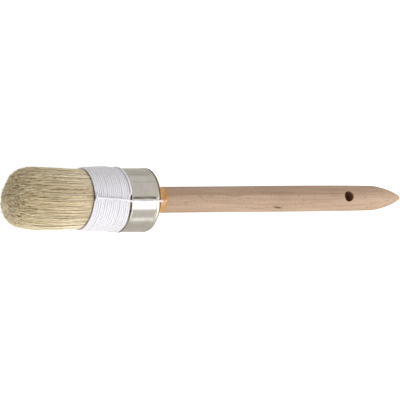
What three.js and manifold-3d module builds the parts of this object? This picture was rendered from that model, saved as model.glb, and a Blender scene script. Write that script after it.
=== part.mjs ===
// A round ring brush for painting and decorating, lying on its side.
//
// Millimetres, +Z up. The brush lies along X with its bristle tips towards -X and the handle's point
// towards +X. The origin is on the ground, under the middle of the brush's length, and the brush
// touches the ground with the bead of its ferrule.
//
// A beech handle ends in a tapered tenon that is driven through a tinplate ferrule into the middle of
// a bundle of bristles. A cord is wound round the bristles in front of the ferrule, led back over its
// own turns and over the ferrule, and set with the bristles in a collar of amber resin.

import * as THREE from 'three';
import { mergeVertices } from 'three/addons/utils/BufferGeometryUtils.js';
import Module from 'manifold-3d';

const wasm = await Module();
wasm.setup();

// ---------------------------------------------------------------- driving dimensions

// Ferrule
const FERRULE_LENGTH = 19.5;
const FERRULE_RADIUS = 20;
const FERRULE_WALL = 0.45;
const LIP_HEIGHT = 0.25; // how far the front lip stands out
const LIP_WIDTH = 0.9;
const BEAD_HEIGHT = 0.3; // how far the rear bead stands out
const BEAD_WIDTH = 3;
const SHOULDER_WIDTH = 1.6; // flat ring that closes the ferrule's rear edge inwards
const BINDING_GAP = 0.9; // bare bristles between the rear turn and the ferrule

// Bristles
const FREE_LENGTH = 51; // from the front turn of the cord to the tips
const BULGE_INSET = 0.9; // from the ferrule's outline in to the widest free bristles
const MOUTH_INSET = 0.9; // from there in to where the bristles leave the cord
const DOME_LENGTH = 24.5; // from the tips back to the widest place
const DOME_FACE_POWER = 2.8; // higher is a blunter face
const DOME_EDGE_POWER = 3.5; // higher is a rounder edge
const DOME_NOSE = 1.0; // how far the middle of the dome stands out of its blunt face
const DOME_NOSE_RADIUS = 12;

// Cord
const CORD_RADIUS = 0.62;
const TURN_COUNT = 17;
const TURN_PITCH = 1.38;
const BINDING_STAND = 0.15; // from the ferrule's outline out to the outside of the rear turn
const BINDING_DRAW_IN = 1; // from there in to the outside of the front turn
const STRAND_FRONT_ANGLE = 8.5; // degrees from straight up, towards -Y
const STRAND_REAR_ANGLE = 11.5;
const CORD_TURN_STEPS = 28;
const CORD_SIDES = 6;

// Handle
const HANDLE_REACH = 195.5; // from the ferrule's rear to the point
const NECK_RADIUS = 8.1;
const BELLY_RADIUS = 8.4;
const BELLY_PLACE = 120; // from the ferrule's rear
const POINT_LENGTH = 24.5;
const POINT_SHOULDER_RADIUS = 8.15;
const POINT_SHOULDER_EASE = 0.24; // share of the point's length that leaves the rod smoothly
const POINT_TIP_EASE = 0.07; // share of it that rounds the tip
const POINT_TIP_FULLNESS = 0.34; // share of the shoulder's radius that the round tip starts from
const TENON_LENGTH = 38; // from the ferrule's rear into the bristles
const TENON_TIP_RADIUS = 5.6;
const TENON_CHAMFER = 1.8;
const HOLE_RADIUS = 3.4;
const HOLE_FROM_POINT = 46.5;

// Resin
const RESIN_DEPTH = 4; // how deep it sits in the ferrule
const RESIN_CLIMB = 10; // how far it climbs the handle
const RESIN_EDGE = 0.35; // its thickness where it ends on the handle

// Fits
const CLEARANCE = 0.3; // between pieces that are set or pressed into each other
const CORD_LIFT = 0.15; // between the cord and what it lies on

// Roundness
const ROUND_STEPS = 32;
const HOLE_STEPS = 24;

// ---------------------------------------------------------------- places along the brush

const bindingLength = TURN_COUNT * TURN_PITCH + 2 * CORD_RADIUS;
const overallLength = FREE_LENGTH + bindingLength + BINDING_GAP + FERRULE_LENGTH + HANDLE_REACH;
const tipsX = -overallLength / 2;
const bindingFrontX = tipsX + FREE_LENGTH;
const bindingRearX = bindingFrontX + bindingLength;
const ferruleFrontX = bindingRearX + BINDING_GAP;
const ferruleRearX = ferruleFrontX + FERRULE_LENGTH;
const pointX = ferruleRearX + HANDLE_REACH;
const tenonTipX = ferruleRearX - TENON_LENGTH;
const holeX = pointX - HOLE_FROM_POINT;

const beadRadius = FERRULE_RADIUS + BEAD_HEIGHT;
const lipRadius = FERRULE_RADIUS + LIP_HEIGHT;
const ferruleBore = FERRULE_RADIUS - FERRULE_WALL;
const shoulderBore = FERRULE_RADIUS - SHOULDER_WIDTH;
const bulgeRadius = FERRULE_RADIUS - BULGE_INSET;
const mouthRadius = bulgeRadius - MOUTH_INSET;
const bindingRearRadius = FERRULE_RADIUS + BINDING_STAND;

// The round pieces are many-sided, with a flat side down, so the bead's flat rests on the ground.
const axisHeight = beadRadius * Math.cos(Math.PI / ROUND_STEPS);

// ---------------------------------------------------------------- materials

const bristle = new THREE.MeshStandardMaterial({ color: '#c9b68a', roughness: 0.7, metalness: 0 });
const cotton = new THREE.MeshStandardMaterial({ color: '#e6e3ec', roughness: 0.85, metalness: 0 });
const tinplate = new THREE.MeshStandardMaterial({ color: '#b4b0a6', roughness: 0.22, metalness: 1 });
const beech = new THREE.MeshStandardMaterial({ color: '#c9ae94', roughness: 0.6, metalness: 0 });
const resin = new THREE.MeshStandardMaterial({ color: '#c98a35', roughness: 0.25, metalness: 0 });

// ---------------------------------------------------------------- shape helpers

// Turns a profile round the brush's axis. Each point is a Vector2 of radius and place along X.
function turned(profile) {
  const geometry = new THREE.LatheGeometry(profile, ROUND_STEPS, Math.PI / ROUND_STEPS);
  return geometry.rotateZ(-Math.PI / 2);
}

// A point on a turned piece: place along X, radius, and angle from straight up towards -Y.
function around(x, radius, angle) {
  return new THREE.Vector3(x, -radius * Math.sin(angle), radius * Math.cos(angle));
}

function toSolid(geometry) {
  const bare = geometry.clone();
  bare.deleteAttribute('normal');
  bare.deleteAttribute('uv');
  const merged = mergeVertices(bare, 1e-4);
  const corners = merged.index.array;
  const faces = [];
  for (let i = 0; i < corners.length; i += 3) {
    const [a, b, c] = corners.slice(i, i + 3);
    if (a !== b && b !== c && c !== a) faces.push(a, b, c);
  }
  const vertProperties = new Float32Array(merged.attributes.position.array);
  return new wasm.Manifold(new wasm.Mesh({ numProp: 3, vertProperties, triVerts: new Uint32Array(faces) }));
}

function toGeometry(solid) {
  const mesh = solid.getMesh();
  const geometry = new THREE.BufferGeometry();
  geometry.setAttribute('position', new THREE.BufferAttribute(new Float32Array(mesh.vertProperties), 3));
  geometry.setIndex(new THREE.BufferAttribute(new Uint32Array(mesh.triVerts), 1));
  geometry.computeVertexNormals();
  return geometry;
}

// A line through the given points, stepped point by point, for a cord that bends tightly in places
// and runs straight in others.
class CordLine extends THREE.Curve {
  constructor(points) {
    super();
    this.points = points;
  }

  getPoint(t, target = new THREE.Vector3()) {
    const place = t * (this.points.length - 1);
    const index = Math.min(Math.floor(place), this.points.length - 2);
    return target.lerpVectors(this.points[index], this.points[index + 1], place - index);
  }

  getPointAt(u, target) {
    return this.getPoint(u, target);
  }

  getTangentAt(u, target = new THREE.Vector3()) {
    const last = this.points.length - 1;
    const index = Math.round(u * last);
    const before = this.points[Math.max(index - 1, 0)];
    const after = this.points[Math.min(index + 1, last)];
    return target.subVectors(after, before).normalize();
  }
}

function cordAlong(points, radius) {
  const section = new THREE.Shape();
  for (let i = 0; i < CORD_SIDES; i += 1) {
    const angle = (2 * Math.PI * i) / CORD_SIDES;
    const corner = [radius * Math.cos(angle), radius * Math.sin(angle)];
    if (i === 0) section.moveTo(...corner);
    else section.lineTo(...corner);
  }
  return new THREE.ExtrudeGeometry(section, {
    steps: points.length - 1,
    extrudePath: new CordLine(points),
    bevelEnabled: false,
  });
}

// ---------------------------------------------------------------- bristles

// Outside of the wound cord. It swells quickly behind the front turn and then runs nearly level.
function bindingRadius(x) {
  const share = THREE.MathUtils.clamp((x - bindingFrontX) / bindingLength, 0, 1);
  return bindingRearRadius - BINDING_DRAW_IN * (1 - share) ** 2;
}

function boundRadius(x) {
  return bindingRadius(x) - 2 * CORD_RADIUS - CLEARANCE;
}

// Profile of the domed end, from the tips to the widest place: a blunt face with well-rounded edges,
// and a nose that stands a little out of its middle.
function domeProfile() {
  const steps = 14;
  const profile = [];
  for (let i = 0; i <= steps; i += 1) {
    const share = Math.sin((i / steps) * (Math.PI / 2));
    const radius = bulgeRadius * share;
    const blunt = DOME_LENGTH * (1 - (1 - share ** DOME_FACE_POWER) ** (1 / DOME_EDGE_POWER));
    const inNose = Math.min(radius / DOME_NOSE_RADIUS, 1);
    const nose = DOME_NOSE * (1 - inNose ** 2) ** 2;
    profile.push(new THREE.Vector2(radius, tipsX + blunt + DOME_NOSE - nose));
  }
  return profile;
}

function freeBristles() {
  const profile = domeProfile();
  const widestX = profile.at(-1).y;
  const mouthX = bindingFrontX - CLEARANCE;
  const steps = 4;
  for (let i = 1; i <= steps; i += 1) {
    const share = i / steps;
    const radius = THREE.MathUtils.lerp(bulgeRadius, mouthRadius, share ** 1.5);
    profile.push(new THREE.Vector2(radius, THREE.MathUtils.lerp(widestX, mouthX, share)));
  }
  profile.push(new THREE.Vector2(0, mouthX));
  return turned(profile);
}

// The same bristles under the cord and in the ferrule, with the tenon's taper in their middle.
function boundBristles() {
  const frontX = bindingFrontX;
  const rearX = ferruleRearX - RESIN_DEPTH - CLEARANCE;
  const inFerrule = ferruleBore - CLEARANCE;
  const profile = [new THREE.Vector2(0, frontX)];
  const steps = 6;
  for (let i = 0; i <= steps; i += 1) {
    const x = THREE.MathUtils.lerp(frontX, bindingRearX, i / steps);
    profile.push(new THREE.Vector2(boundRadius(x), x));
  }
  profile.push(new THREE.Vector2(inFerrule, ferruleFrontX + BINDING_GAP));
  profile.push(new THREE.Vector2(inFerrule, rearX));
  profile.push(new THREE.Vector2(tenonRadius(rearX) + CLEARANCE, rearX));
  profile.push(new THREE.Vector2(TENON_TIP_RADIUS + CLEARANCE, tenonTipX + TENON_CHAMFER));
  profile.push(new THREE.Vector2(TENON_TIP_RADIUS - TENON_CHAMFER + CLEARANCE, tenonTipX - CLEARANCE));
  profile.push(new THREE.Vector2(0, tenonTipX - CLEARANCE));
  return turned(profile);
}

// ---------------------------------------------------------------- handle

// The tenon tapers from the neck's size at the ferrule's rear to its tip.
function tenonRadius(x) {
  const taperEndX = tenonTipX + TENON_CHAMFER;
  return THREE.MathUtils.mapLinear(x, ferruleRearX, taperEndX, NECK_RADIUS, TENON_TIP_RADIUS);
}

function handleProfile() {
  const profile = [
    new THREE.Vector2(0, tenonTipX),
    new THREE.Vector2(TENON_TIP_RADIUS - TENON_CHAMFER, tenonTipX),
    new THREE.Vector2(TENON_TIP_RADIUS, tenonTipX + TENON_CHAMFER),
  ];
  const bellyX = ferruleRearX + BELLY_PLACE;
  const shoulderX = pointX - POINT_LENGTH;
  const steps = 4;
  for (let i = 0; i <= steps; i += 1) {
    const swell = Math.sin((i / steps) * (Math.PI / 2)) ** 2;
    const radius = THREE.MathUtils.lerp(NECK_RADIUS, BELLY_RADIUS, swell);
    profile.push(new THREE.Vector2(radius, THREE.MathUtils.lerp(ferruleRearX, bellyX, i / steps)));
  }
  // The point: an ogive that leaves the rod smoothly and ends in a small round tip.
  const ogive = new THREE.CubicBezierCurve(
    new THREE.Vector2(POINT_SHOULDER_RADIUS, shoulderX),
    new THREE.Vector2(POINT_SHOULDER_RADIUS, shoulderX + POINT_LENGTH * POINT_SHOULDER_EASE),
    new THREE.Vector2(POINT_SHOULDER_RADIUS * POINT_TIP_FULLNESS, pointX - POINT_LENGTH * POINT_TIP_EASE),
    new THREE.Vector2(0, pointX),
  );
  profile.push(...ogive.getPoints(12));
  return profile;
}

function handle() {
  const rod = toSolid(turned(handleProfile()));
  const drill = new THREE.CylinderGeometry(HOLE_RADIUS, HOLE_RADIUS, 4 * BELLY_RADIUS, HOLE_STEPS);
  drill.rotateX(Math.PI / 2);
  drill.rotateZ(Math.PI / HOLE_STEPS);
  drill.translate(holeX, 0, 0);
  return toGeometry(rod.subtract(toSolid(drill)));
}

// ---------------------------------------------------------------- ferrule

function ferrule() {
  const front = ferruleFrontX;
  const rear = ferruleRearX;
  const profile = [
    new THREE.Vector2(ferruleBore, front),
    new THREE.Vector2(FERRULE_RADIUS, front),
    new THREE.Vector2(lipRadius, front + LIP_WIDTH * 0.25),
    new THREE.Vector2(lipRadius, front + LIP_WIDTH * 0.75),
    new THREE.Vector2(FERRULE_RADIUS, front + LIP_WIDTH),
    new THREE.Vector2(FERRULE_RADIUS, rear - BEAD_WIDTH),
    new THREE.Vector2(FERRULE_RADIUS + BEAD_HEIGHT * 0.75, rear - BEAD_WIDTH * 0.8),
    new THREE.Vector2(beadRadius, rear - BEAD_WIDTH * 0.5),
    new THREE.Vector2(FERRULE_RADIUS + BEAD_HEIGHT * 0.75, rear - BEAD_WIDTH * 0.2),
    new THREE.Vector2(FERRULE_RADIUS, rear),
    new THREE.Vector2(shoulderBore, rear),
    new THREE.Vector2(shoulderBore, rear - FERRULE_WALL),
    new THREE.Vector2(ferruleBore, rear - FERRULE_WALL * 2),
  ];
  profile.push(profile[0].clone());
  return turned(profile);
}

// ---------------------------------------------------------------- cord

const laidRadius = (surface) => surface + CORD_LIFT + CORD_RADIUS;

// The turns, from the ferrule forwards, ending where the cord starts to rise.
function turns(startAngle, endAngle) {
  const points = [];
  const rearX = bindingRearX - CORD_RADIUS;
  const swept = endAngle - startAngle;
  const steps = Math.round((CORD_TURN_STEPS * swept) / (2 * Math.PI));
  for (let i = 0; i <= steps; i += 1) {
    const angle = startAngle + (swept * i) / steps;
    const x = rearX - (TURN_PITCH * (angle - startAngle)) / (2 * Math.PI);
    points.push(around(x, bindingRadius(x) - CORD_RADIUS, angle));
  }
  return points;
}

// The cord rises off the front turn, bends backwards and runs over the turns.
function bendBack(startAngle, endAngle, frontX) {
  const points = [];
  const low = bindingRadius(frontX) - CORD_RADIUS;
  const high = laidRadius(bindingRadius(frontX));
  const bend = CORD_RADIUS * 3;
  const bendAngle = bend / high;
  const riseSteps = 6;
  for (let i = 1; i <= riseSteps; i += 1) {
    const share = i / riseSteps;
    const rise = THREE.MathUtils.smoothstep(share, 0, 1);
    const angle = THREE.MathUtils.lerp(startAngle, endAngle - bendAngle, share);
    points.push(around(frontX, THREE.MathUtils.lerp(low, high, rise), angle));
  }
  const bendSteps = 6;
  for (let i = 1; i <= bendSteps; i += 1) {
    const turn = (i / bendSteps) * (Math.PI / 2);
    const x = frontX + bend * (1 - Math.cos(turn));
    const angle = endAngle - bendAngle * (1 - Math.sin(turn));
    points.push(around(x, laidRadius(bindingRadius(x)), angle));
  }
  return points;
}

// The strand's height over the binding, the ferrule's lip, its wall and its bead, as far as the rim.
function strandStations(startX) {
  const stations = [];
  const overTurns = 4;
  for (let i = 1; i <= overTurns; i += 1) {
    const x = THREE.MathUtils.lerp(startX, bindingRearX, i / overTurns);
    stations.push([x, laidRadius(bindingRadius(x))]);
  }
  stations.push([ferruleFrontX + LIP_WIDTH / 2, laidRadius(Math.max(lipRadius, bindingRearRadius))]);
  stations.push([ferruleFrontX + LIP_WIDTH * 2.5, laidRadius(FERRULE_RADIUS)]);
  stations.push([ferruleRearX - BEAD_WIDTH * 1.3, laidRadius(FERRULE_RADIUS)]);
  stations.push([ferruleRearX - BEAD_WIDTH * 0.6, laidRadius(beadRadius)]);
  stations.push([ferruleRearX - BEAD_WIDTH * 0.2, laidRadius(beadRadius)]);
  return stations;
}

function strand(startX) {
  const front = THREE.MathUtils.degToRad(STRAND_FRONT_ANGLE);
  const rear = THREE.MathUtils.degToRad(STRAND_REAR_ANGLE);
  return strandStations(startX).map(([x, radius]) => {
    const share = THREE.MathUtils.clamp((x - startX) / (ferruleFrontX - startX), 0, 1);
    return around(x, radius, THREE.MathUtils.lerp(front, rear, share));
  });
}

// Over the rim, down the ferrule's shoulder and into the resin.
function hook() {
  const points = [];
  const angle = THREE.MathUtils.degToRad(STRAND_REAR_ANGLE);
  const bend = CORD_LIFT + CORD_RADIUS;
  const reach = bend + CLEARANCE;
  const steps = 5;
  for (let i = 1; i <= steps; i += 1) {
    const turn = (i / steps) * (Math.PI / 2);
    const x = ferruleRearX + reach * Math.sin(turn);
    const radius = beadRadius - bend + 2 * bend * Math.cos(turn);
    points.push(around(x, radius, angle));
  }
  const innerRadius = shoulderBore - 2 * CORD_RADIUS;
  points.push(around(ferruleRearX + reach, shoulderBore, angle));
  for (let i = 1; i <= steps; i += 1) {
    const turn = (i / steps) * (Math.PI / 2);
    const x = ferruleRearX + reach - reach * (1 - Math.cos(turn));
    points.push(around(x, innerRadius - reach * Math.sin(turn), angle));
  }
  points.push(around(ferruleRearX - CORD_RADIUS * 2, innerRadius - reach, angle));
  return points;
}

function cordPoints() {
  const endAngle = 2 * Math.PI * TURN_COUNT + THREE.MathUtils.degToRad(STRAND_FRONT_ANGLE);
  const startAngle = THREE.MathUtils.degToRad(STRAND_REAR_ANGLE - 3);
  const riseAngle = endAngle - THREE.MathUtils.degToRad(40);
  const wound = turns(startAngle, riseAngle);
  const frontX = wound.at(-1).x;
  const bent = bendBack(riseAngle, endAngle, frontX);
  return [...wound, ...bent, ...strand(bent.at(-1).x)];
}

// ---------------------------------------------------------------- resin

function resinCollar() {
  const inner = NECK_RADIUS + CLEARANCE;
  const inFerrule = ferruleBore - CLEARANCE;
  const edgeX = ferruleRearX + RESIN_CLIMB;
  const fillet = new THREE.QuadraticBezierCurve(
    new THREE.Vector2(shoulderBore - CLEARANCE, ferruleRearX),
    new THREE.Vector2(inner + RESIN_CLIMB * 0.25, ferruleRearX + RESIN_CLIMB * 0.25),
    new THREE.Vector2(inner + RESIN_EDGE, edgeX),
  );
  const profile = [
    new THREE.Vector2(inner, ferruleRearX - RESIN_DEPTH),
    new THREE.Vector2(inFerrule, ferruleRearX - RESIN_DEPTH),
    new THREE.Vector2(inFerrule, ferruleRearX - FERRULE_WALL * 2 - CLEARANCE),
    new THREE.Vector2(shoulderBore - CLEARANCE, ferruleRearX - FERRULE_WALL * 2 - CLEARANCE),
    ...fillet.getPoints(8),
    new THREE.Vector2(inner, edgeX),
  ];
  profile.push(profile[0].clone());
  const socket = cordAlong(hook(), CORD_RADIUS + CLEARANCE);
  return toGeometry(toSolid(turned(profile)).subtract(toSolid(socket)));
}

// ---------------------------------------------------------------- assembly

function piece(name, geometry, material) {
  const mesh = new THREE.Mesh(geometry, material);
  mesh.name = name;
  return mesh;
}

const handlePiece = piece('handle', handle(), beech);
const ferrulePiece = piece('ferrule', ferrule(), tinplate);
const boundPiece = piece('bound_bristles', boundBristles(), bristle);
const freePiece = piece('free_bristles', freeBristles(), bristle);
const cordPiece = piece('binding_cord', cordAlong([...cordPoints(), ...hook()], CORD_RADIUS), cotton);
const resinPiece = piece('resin_collar', resinCollar(), resin);

const head = new THREE.Group();
head.add(ferrulePiece, boundPiece, freePiece, cordPiece, resinPiece);

const brush = new THREE.Group();
brush.add(handlePiece, head);
brush.position.z = axisHeight;

export default brush;
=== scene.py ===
"""A round ring brush for painting and decorating, dressed for its picture.

The brush lies on its side along X, with the bristle tips towards -X and the handle's point towards +X.
Sizes are in millimetres until a mesh or a material is made, and every finished mesh is in metres, with
its place in its points and its object at the origin.
"""
import logging
import math
from dataclasses import dataclass
from enum import Enum
from functools import cached_property, partial
from typing import Any, Iterable, Sequence

import bmesh
import bpy
import numpy as np
from mathutils import Matrix, Vector


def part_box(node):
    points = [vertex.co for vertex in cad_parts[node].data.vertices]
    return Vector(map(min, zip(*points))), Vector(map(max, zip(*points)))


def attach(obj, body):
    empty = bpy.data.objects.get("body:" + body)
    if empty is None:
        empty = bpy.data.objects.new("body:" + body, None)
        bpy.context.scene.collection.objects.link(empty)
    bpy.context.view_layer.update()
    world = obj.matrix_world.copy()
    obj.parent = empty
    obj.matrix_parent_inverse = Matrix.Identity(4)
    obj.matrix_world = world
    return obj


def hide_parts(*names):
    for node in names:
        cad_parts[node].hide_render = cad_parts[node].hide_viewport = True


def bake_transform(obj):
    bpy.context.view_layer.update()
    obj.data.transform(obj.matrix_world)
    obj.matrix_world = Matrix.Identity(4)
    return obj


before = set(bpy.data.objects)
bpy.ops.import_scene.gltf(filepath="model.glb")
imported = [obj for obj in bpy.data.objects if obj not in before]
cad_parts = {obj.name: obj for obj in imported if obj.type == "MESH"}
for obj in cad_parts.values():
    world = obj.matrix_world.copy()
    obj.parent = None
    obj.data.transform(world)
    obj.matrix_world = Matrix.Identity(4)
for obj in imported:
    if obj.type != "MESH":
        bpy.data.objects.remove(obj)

LOG = logging.getLogger("brush")
MM = 0.001
BRUSH_BODY = "brush"

Point = tuple[float, float]
Triple = tuple[float, float, float]
Colour = tuple[float, float, float, float]


# ---------------------------------------------------------------- small tools


def linear(code: str) -> Colour:
    """Turn an sRGB colour into Blender's linear colour.

    Args:
        code: The colour as "#rrggbb".

    Returns:
        Red, green, blue and alpha, linear.
    """
    parts = [int(code[i:i + 2], 16) / 255 for i in (1, 3, 5)]
    bent = [p / 12.92 if p <= 0.04045 else ((p + 0.055) / 1.055) ** 2.4 for p in parts]
    return (bent[0], bent[1], bent[2], 1.0)


def feed(tree: bpy.types.NodeTree, node: Any, inputs: dict[Any, Any]) -> None:
    """Set or link a node's inputs.

    Args:
        tree: The node tree.
        node: The node.
        inputs: Input name or number to a plain value, to a node whose first output feeds it, or to
            the output socket that feeds it.
    """
    for key, value in inputs.items():
        if isinstance(value, bpy.types.Node):
            value = value.outputs[0]
        if isinstance(value, bpy.types.NodeSocket):
            tree.links.new(value, node.inputs[key])
        else:
            node.inputs[key].default_value = value


def add(tree: bpy.types.NodeTree, kind: str, *values: Any, stops: Sequence[tuple[float, str]] = (),
        **settings: Any) -> Any:
    """Add one node to a tree, with its settings and its links.

    Args:
        tree: The node tree.
        kind: The node's type name.
        values: What feeds its inputs, as in feed: one dictionary, or each in the inputs' own order.
        stops: For a colour ramp, its places from 0 to 1 with their sRGB colours, in rising order.
        settings: The node's own properties.

    Returns:
        The new node.
    """
    node = tree.nodes.new(kind)
    for name, value in settings.items():
        setattr(node, name, value)
    named = bool(values) and isinstance(values[0], dict)
    feed(tree, node, values[0] if named else dict(enumerate(values)))
    if stops:
        elements = node.color_ramp.elements
        while len(elements) < len(stops):
            elements.new(0.5)
        for element, (place, code) in zip(elements, stops):
            element.position = place
            element.color = linear(code)
    return node


def place_mesh(name: str, points: Any, faces: Iterable[Sequence[int]]) -> Any:
    """Make a smooth-shaded mesh object at the origin, with its faces pointing outwards.

    Args:
        name: The object's name.
        points: Points in millimetres, in the row frame.
        faces: Corner numbers of each face.

    Returns:
        The new object, linked to the scene.
    """
    mesh = bpy.data.meshes.new(name)
    mesh.from_pydata((np.asarray(points, float) * MM).tolist(), [], list(faces))
    shell = bmesh.new()
    shell.from_mesh(mesh)
    bmesh.ops.recalc_face_normals(shell, faces=shell.faces[:])
    for face in shell.faces:
        face.smooth = True
    shell.to_mesh(mesh)
    shell.free()
    return place_object(name, mesh)


def place_object(name: str, data: Any) -> Any:
    """Make an object from its data and link it to the scene.

    Args:
        name: The object's name.
        data: Its mesh, curve, lamp or camera.

    Returns:
        The new object.
    """
    made = bpy.data.objects.new(name, data)
    bpy.context.scene.collection.objects.link(made)
    return made


def evaluated_mesh(piece: Any, name: str) -> Any:
    """Copy what a piece looks like with its modifiers, as a new mesh with the given name.

    Args:
        piece: The object with the modifiers.
        name: The mesh's name.

    Returns:
        The new mesh.
    """
    bpy.context.view_layer.update()
    graph = bpy.context.evaluated_depsgraph_get()
    mesh = bpy.data.meshes.new_from_object(piece.evaluated_get(graph))
    mesh.name = name
    return mesh


def grow(name: str, base: Any, tree: bpy.types.NodeTree, values: dict[str, Any]) -> Any:
    """Run a Geometry Nodes tree on a base object and keep the result as a plain mesh.

    Args:
        name: The name of the piece that comes out.
        base: The object that the tree starts from. It is deleted.
        tree: The node tree.
        values: The tree's input names and their values.

    Returns:
        The new mesh object.
    """
    modifier = base.modifiers.new(tree.name, "NODES")
    modifier.node_group = tree
    sockets = {item.name: item.identifier for item in tree.interface.items_tree}
    for label, value in values.items():
        modifier[sockets[label]] = value
    mesh = evaluated_mesh(base, name)
    bpy.data.objects.remove(base)
    return place_object(name, mesh)


def start_tree(name: str, inputs: Iterable[tuple[str, str]]) -> tuple[Any, Any]:
    """Start a Geometry Nodes tree with named inputs.

    Args:
        name: The tree's name.
        inputs: Each input's name after the geometry, and its socket type, such as "Float".

    Returns:
        The tree and its inputs' sockets.
    """
    tree = bpy.data.node_groups.new(name, "GeometryNodeTree")
    for label, kind in (("Geometry", "Geometry"), *inputs):
        tree.interface.new_socket(label, in_out="INPUT", socket_type=f"NodeSocket{kind}")
    tree.interface.new_socket("Result", in_out="OUTPUT", socket_type="NodeSocketGeometry")
    return tree, tree.nodes.new("NodeGroupInput").outputs


def end_tree(tree: bpy.types.NodeTree, line: Any, section: Any, scale: Any,
             material: bpy.types.Material) -> None:
    """End a Geometry Nodes tree by sweeping its lines into real, painted, smooth tubes.

    Args:
        tree: The tree.
        line: The node of the middle lines.
        section: The node of the section.
        scale: The node of the section's size along a line.
        material: What the tubes are painted with.
    """
    tube = add(tree, "GeometryNodeCurveToMesh", {"Curve": line, "Profile Curve": section,
                                                 "Scale": scale, "Fill Caps": True})
    smooth = add(tree, "GeometryNodeSetShadeSmooth", {"Geometry": tube, "Shade Smooth": True})
    real = add(tree, "GeometryNodeRealizeInstances", smooth)
    painted = add(tree, "GeometryNodeSetMaterial", {"Geometry": real, "Material": material})
    add(tree, "NodeGroupOutput", painted)


def arc(centre: Point, radius: float, start: float, end: float, steps: int) -> list[Point]:
    """Points of an arc in a profile.

    Args:
        centre: Place along X and radius of the arc's centre.
        radius: The arc's own radius.
        start: First angle in degrees, where 0 points along +X and 90 away from the axis.
        end: Last angle in degrees.
        steps: Number of steps between them.

    Returns:
        Places along X and radii.
    """
    turns = [math.radians(start + (end - start) * i / steps) for i in range(steps + 1)]
    return [(centre[0] + radius * math.cos(a), centre[1] + radius * math.sin(a)) for a in turns]


def ease(value: float, low: float, high: float) -> float:
    """Go smoothly from 0 at low to 1 at high."""
    share = min(max((value - low) / (high - low), 0.0), 1.0)
    return share * share * (3 - 2 * share)


def smooth_line(stations: Sequence[Vector], step: float) -> list[Vector]:
    """Join points with a smooth line and walk it in even steps.

    Args:
        stations: Points that the line passes through.
        step: Distance between the points that come out.

    Returns:
        Points along the line, ends included.
    """
    parts = 12
    ends = [stations[0] * 2 - stations[1], *stations, stations[-1] * 2 - stations[-2]]
    dense: list[Vector] = []
    for before, here, there, after in zip(ends, ends[1:], ends[2:], ends[3:]):
        for i in range(parts):
            t = i / parts
            dense.append(0.5 * (2 * here + (there - before) * t
                                + (2 * before - 5 * here + 4 * there - after) * t * t
                                + (3 * here - before - 3 * there + after) * t ** 3))
    dense.append(stations[-1].copy())
    walked = [dense[0]]
    for point in dense[1:-1]:
        if (point - walked[-1]).length >= step:
            walked.append(point)
    return [*walked, dense[-1]]


# ---------------------------------------------------------------- the brush's places


def corners(node: str) -> tuple[Vector, Vector]:
    """Lowest and highest corner of a CAD node, in millimetres."""
    low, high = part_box(node)
    return low / MM, high / MM


@dataclass(frozen=True)
class Layout:
    """Where everything is along the brush, in millimetres, read from the frame."""

    tips_x: float
    mouth_x: float
    binding_rear_x: float
    ferrule_front_x: float
    ferrule_rear_x: float
    tenon_tip_x: float
    point_x: float
    axis_z: float
    ferrule_radius: float = 20.0
    binding_gap: float = 0.9
    resin_climb: float = 10.1
    lean_side: float = 9.0
    lean_start: float = 11.0
    lean_at_mouth: float = 1.0
    lean_at_tips: float = 3.2
    mouth_slant: float = 2.0

    @classmethod
    def from_frame(cls) -> "Layout":
        """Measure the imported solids.

        Returns:
            The layout.
        """
        free, ferrule, handle = corners("free_bristles"), corners("ferrule"), corners("handle")
        return cls(
            tips_x=free[0].x,
            mouth_x=corners("bound_bristles")[0].x,
            binding_rear_x=ferrule[0].x - cls.binding_gap,
            ferrule_front_x=ferrule[0].x,
            ferrule_rear_x=ferrule[1].x,
            tenon_tip_x=handle[0].x,
            point_x=handle[1].x,
            axis_z=(ferrule[0].z + ferrule[1].z) / 2,
        )

    @property
    def sideways(self) -> Vector:
        """Unit direction across the brush in which its hand-packed head leans a little."""
        side = math.radians(self.lean_side)
        return Vector((0.0, math.cos(side), math.sin(side)))

    def lean(self, x: float) -> float:
        """How far the head's middle lies off the handle's axis at a place along the brush.

        Args:
            x: The place.

        Returns:
            The distance in millimetres.
        """
        over_binding = self.lean_at_mouth * ease(-x, -self.ferrule_front_x,
                                                 self.lean_start - self.ferrule_front_x)
        beyond = self.lean_at_tips - self.lean_at_mouth
        return over_binding + beyond * ease(-x, -self.mouth_x, -self.tips_x)

    def slant(self, angle: float) -> float:
        """How much further forward the cord's front turn lies at an angle round the brush."""
        return self.mouth_slant * max(math.sin(angle), 0.0)

    def around(self, x: float, radius: float, angle: float, leaning: bool = True) -> Vector:
        """A point round the brush.

        Args:
            x: Place along the brush.
            radius: Distance from the middle.
            angle: Radians from straight up, towards -Y.
            leaning: Whether the middle is the leaning head's or the handle's.

        Returns:
            The point in millimetres.
        """
        shift = self.sideways * (self.lean(x) if leaning else 0.0)
        y = -radius * math.sin(angle) + shift.y
        z = self.axis_z + radius * math.cos(angle) + shift.z
        return Vector((x, y, z))

    def revolve(self, name: str, profile: Sequence[Point], steps: int, leaning: bool = False) -> Any:
        """Turn a profile round the brush's axis.

        Args:
            name: The new object's name.
            profile: Places along X with their radii. A radius of 0 closes an end in a pole, and a
                last point equal to the first closes the profile on itself.
            steps: Facets round the axis.
            leaning: Whether the shape follows the leaning head.

        Returns:
            The new object.
        """
        closed = profile[0] == profile[-1]
        points: list[Vector] = []
        rings: list[list[int]] = []
        for x, radius in profile[:-1] if closed else profile:
            count = steps if radius > 0 else 1
            rings.append([len(points) + i for i in range(count)] * (steps // count))
            points += [self.around(x, radius, math.tau * i / steps, leaning) for i in range(count)]
        faces = []
        for here, there in zip(rings, rings[1:] + ([rings[0]] if closed else [])):
            for i in range(steps):
                j = (i + 1) % steps
                faces.append(list(dict.fromkeys((here[i], here[j], there[j], there[i]))))
        return place_mesh(name, points, faces)


# ---------------------------------------------------------------- finishes


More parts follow.
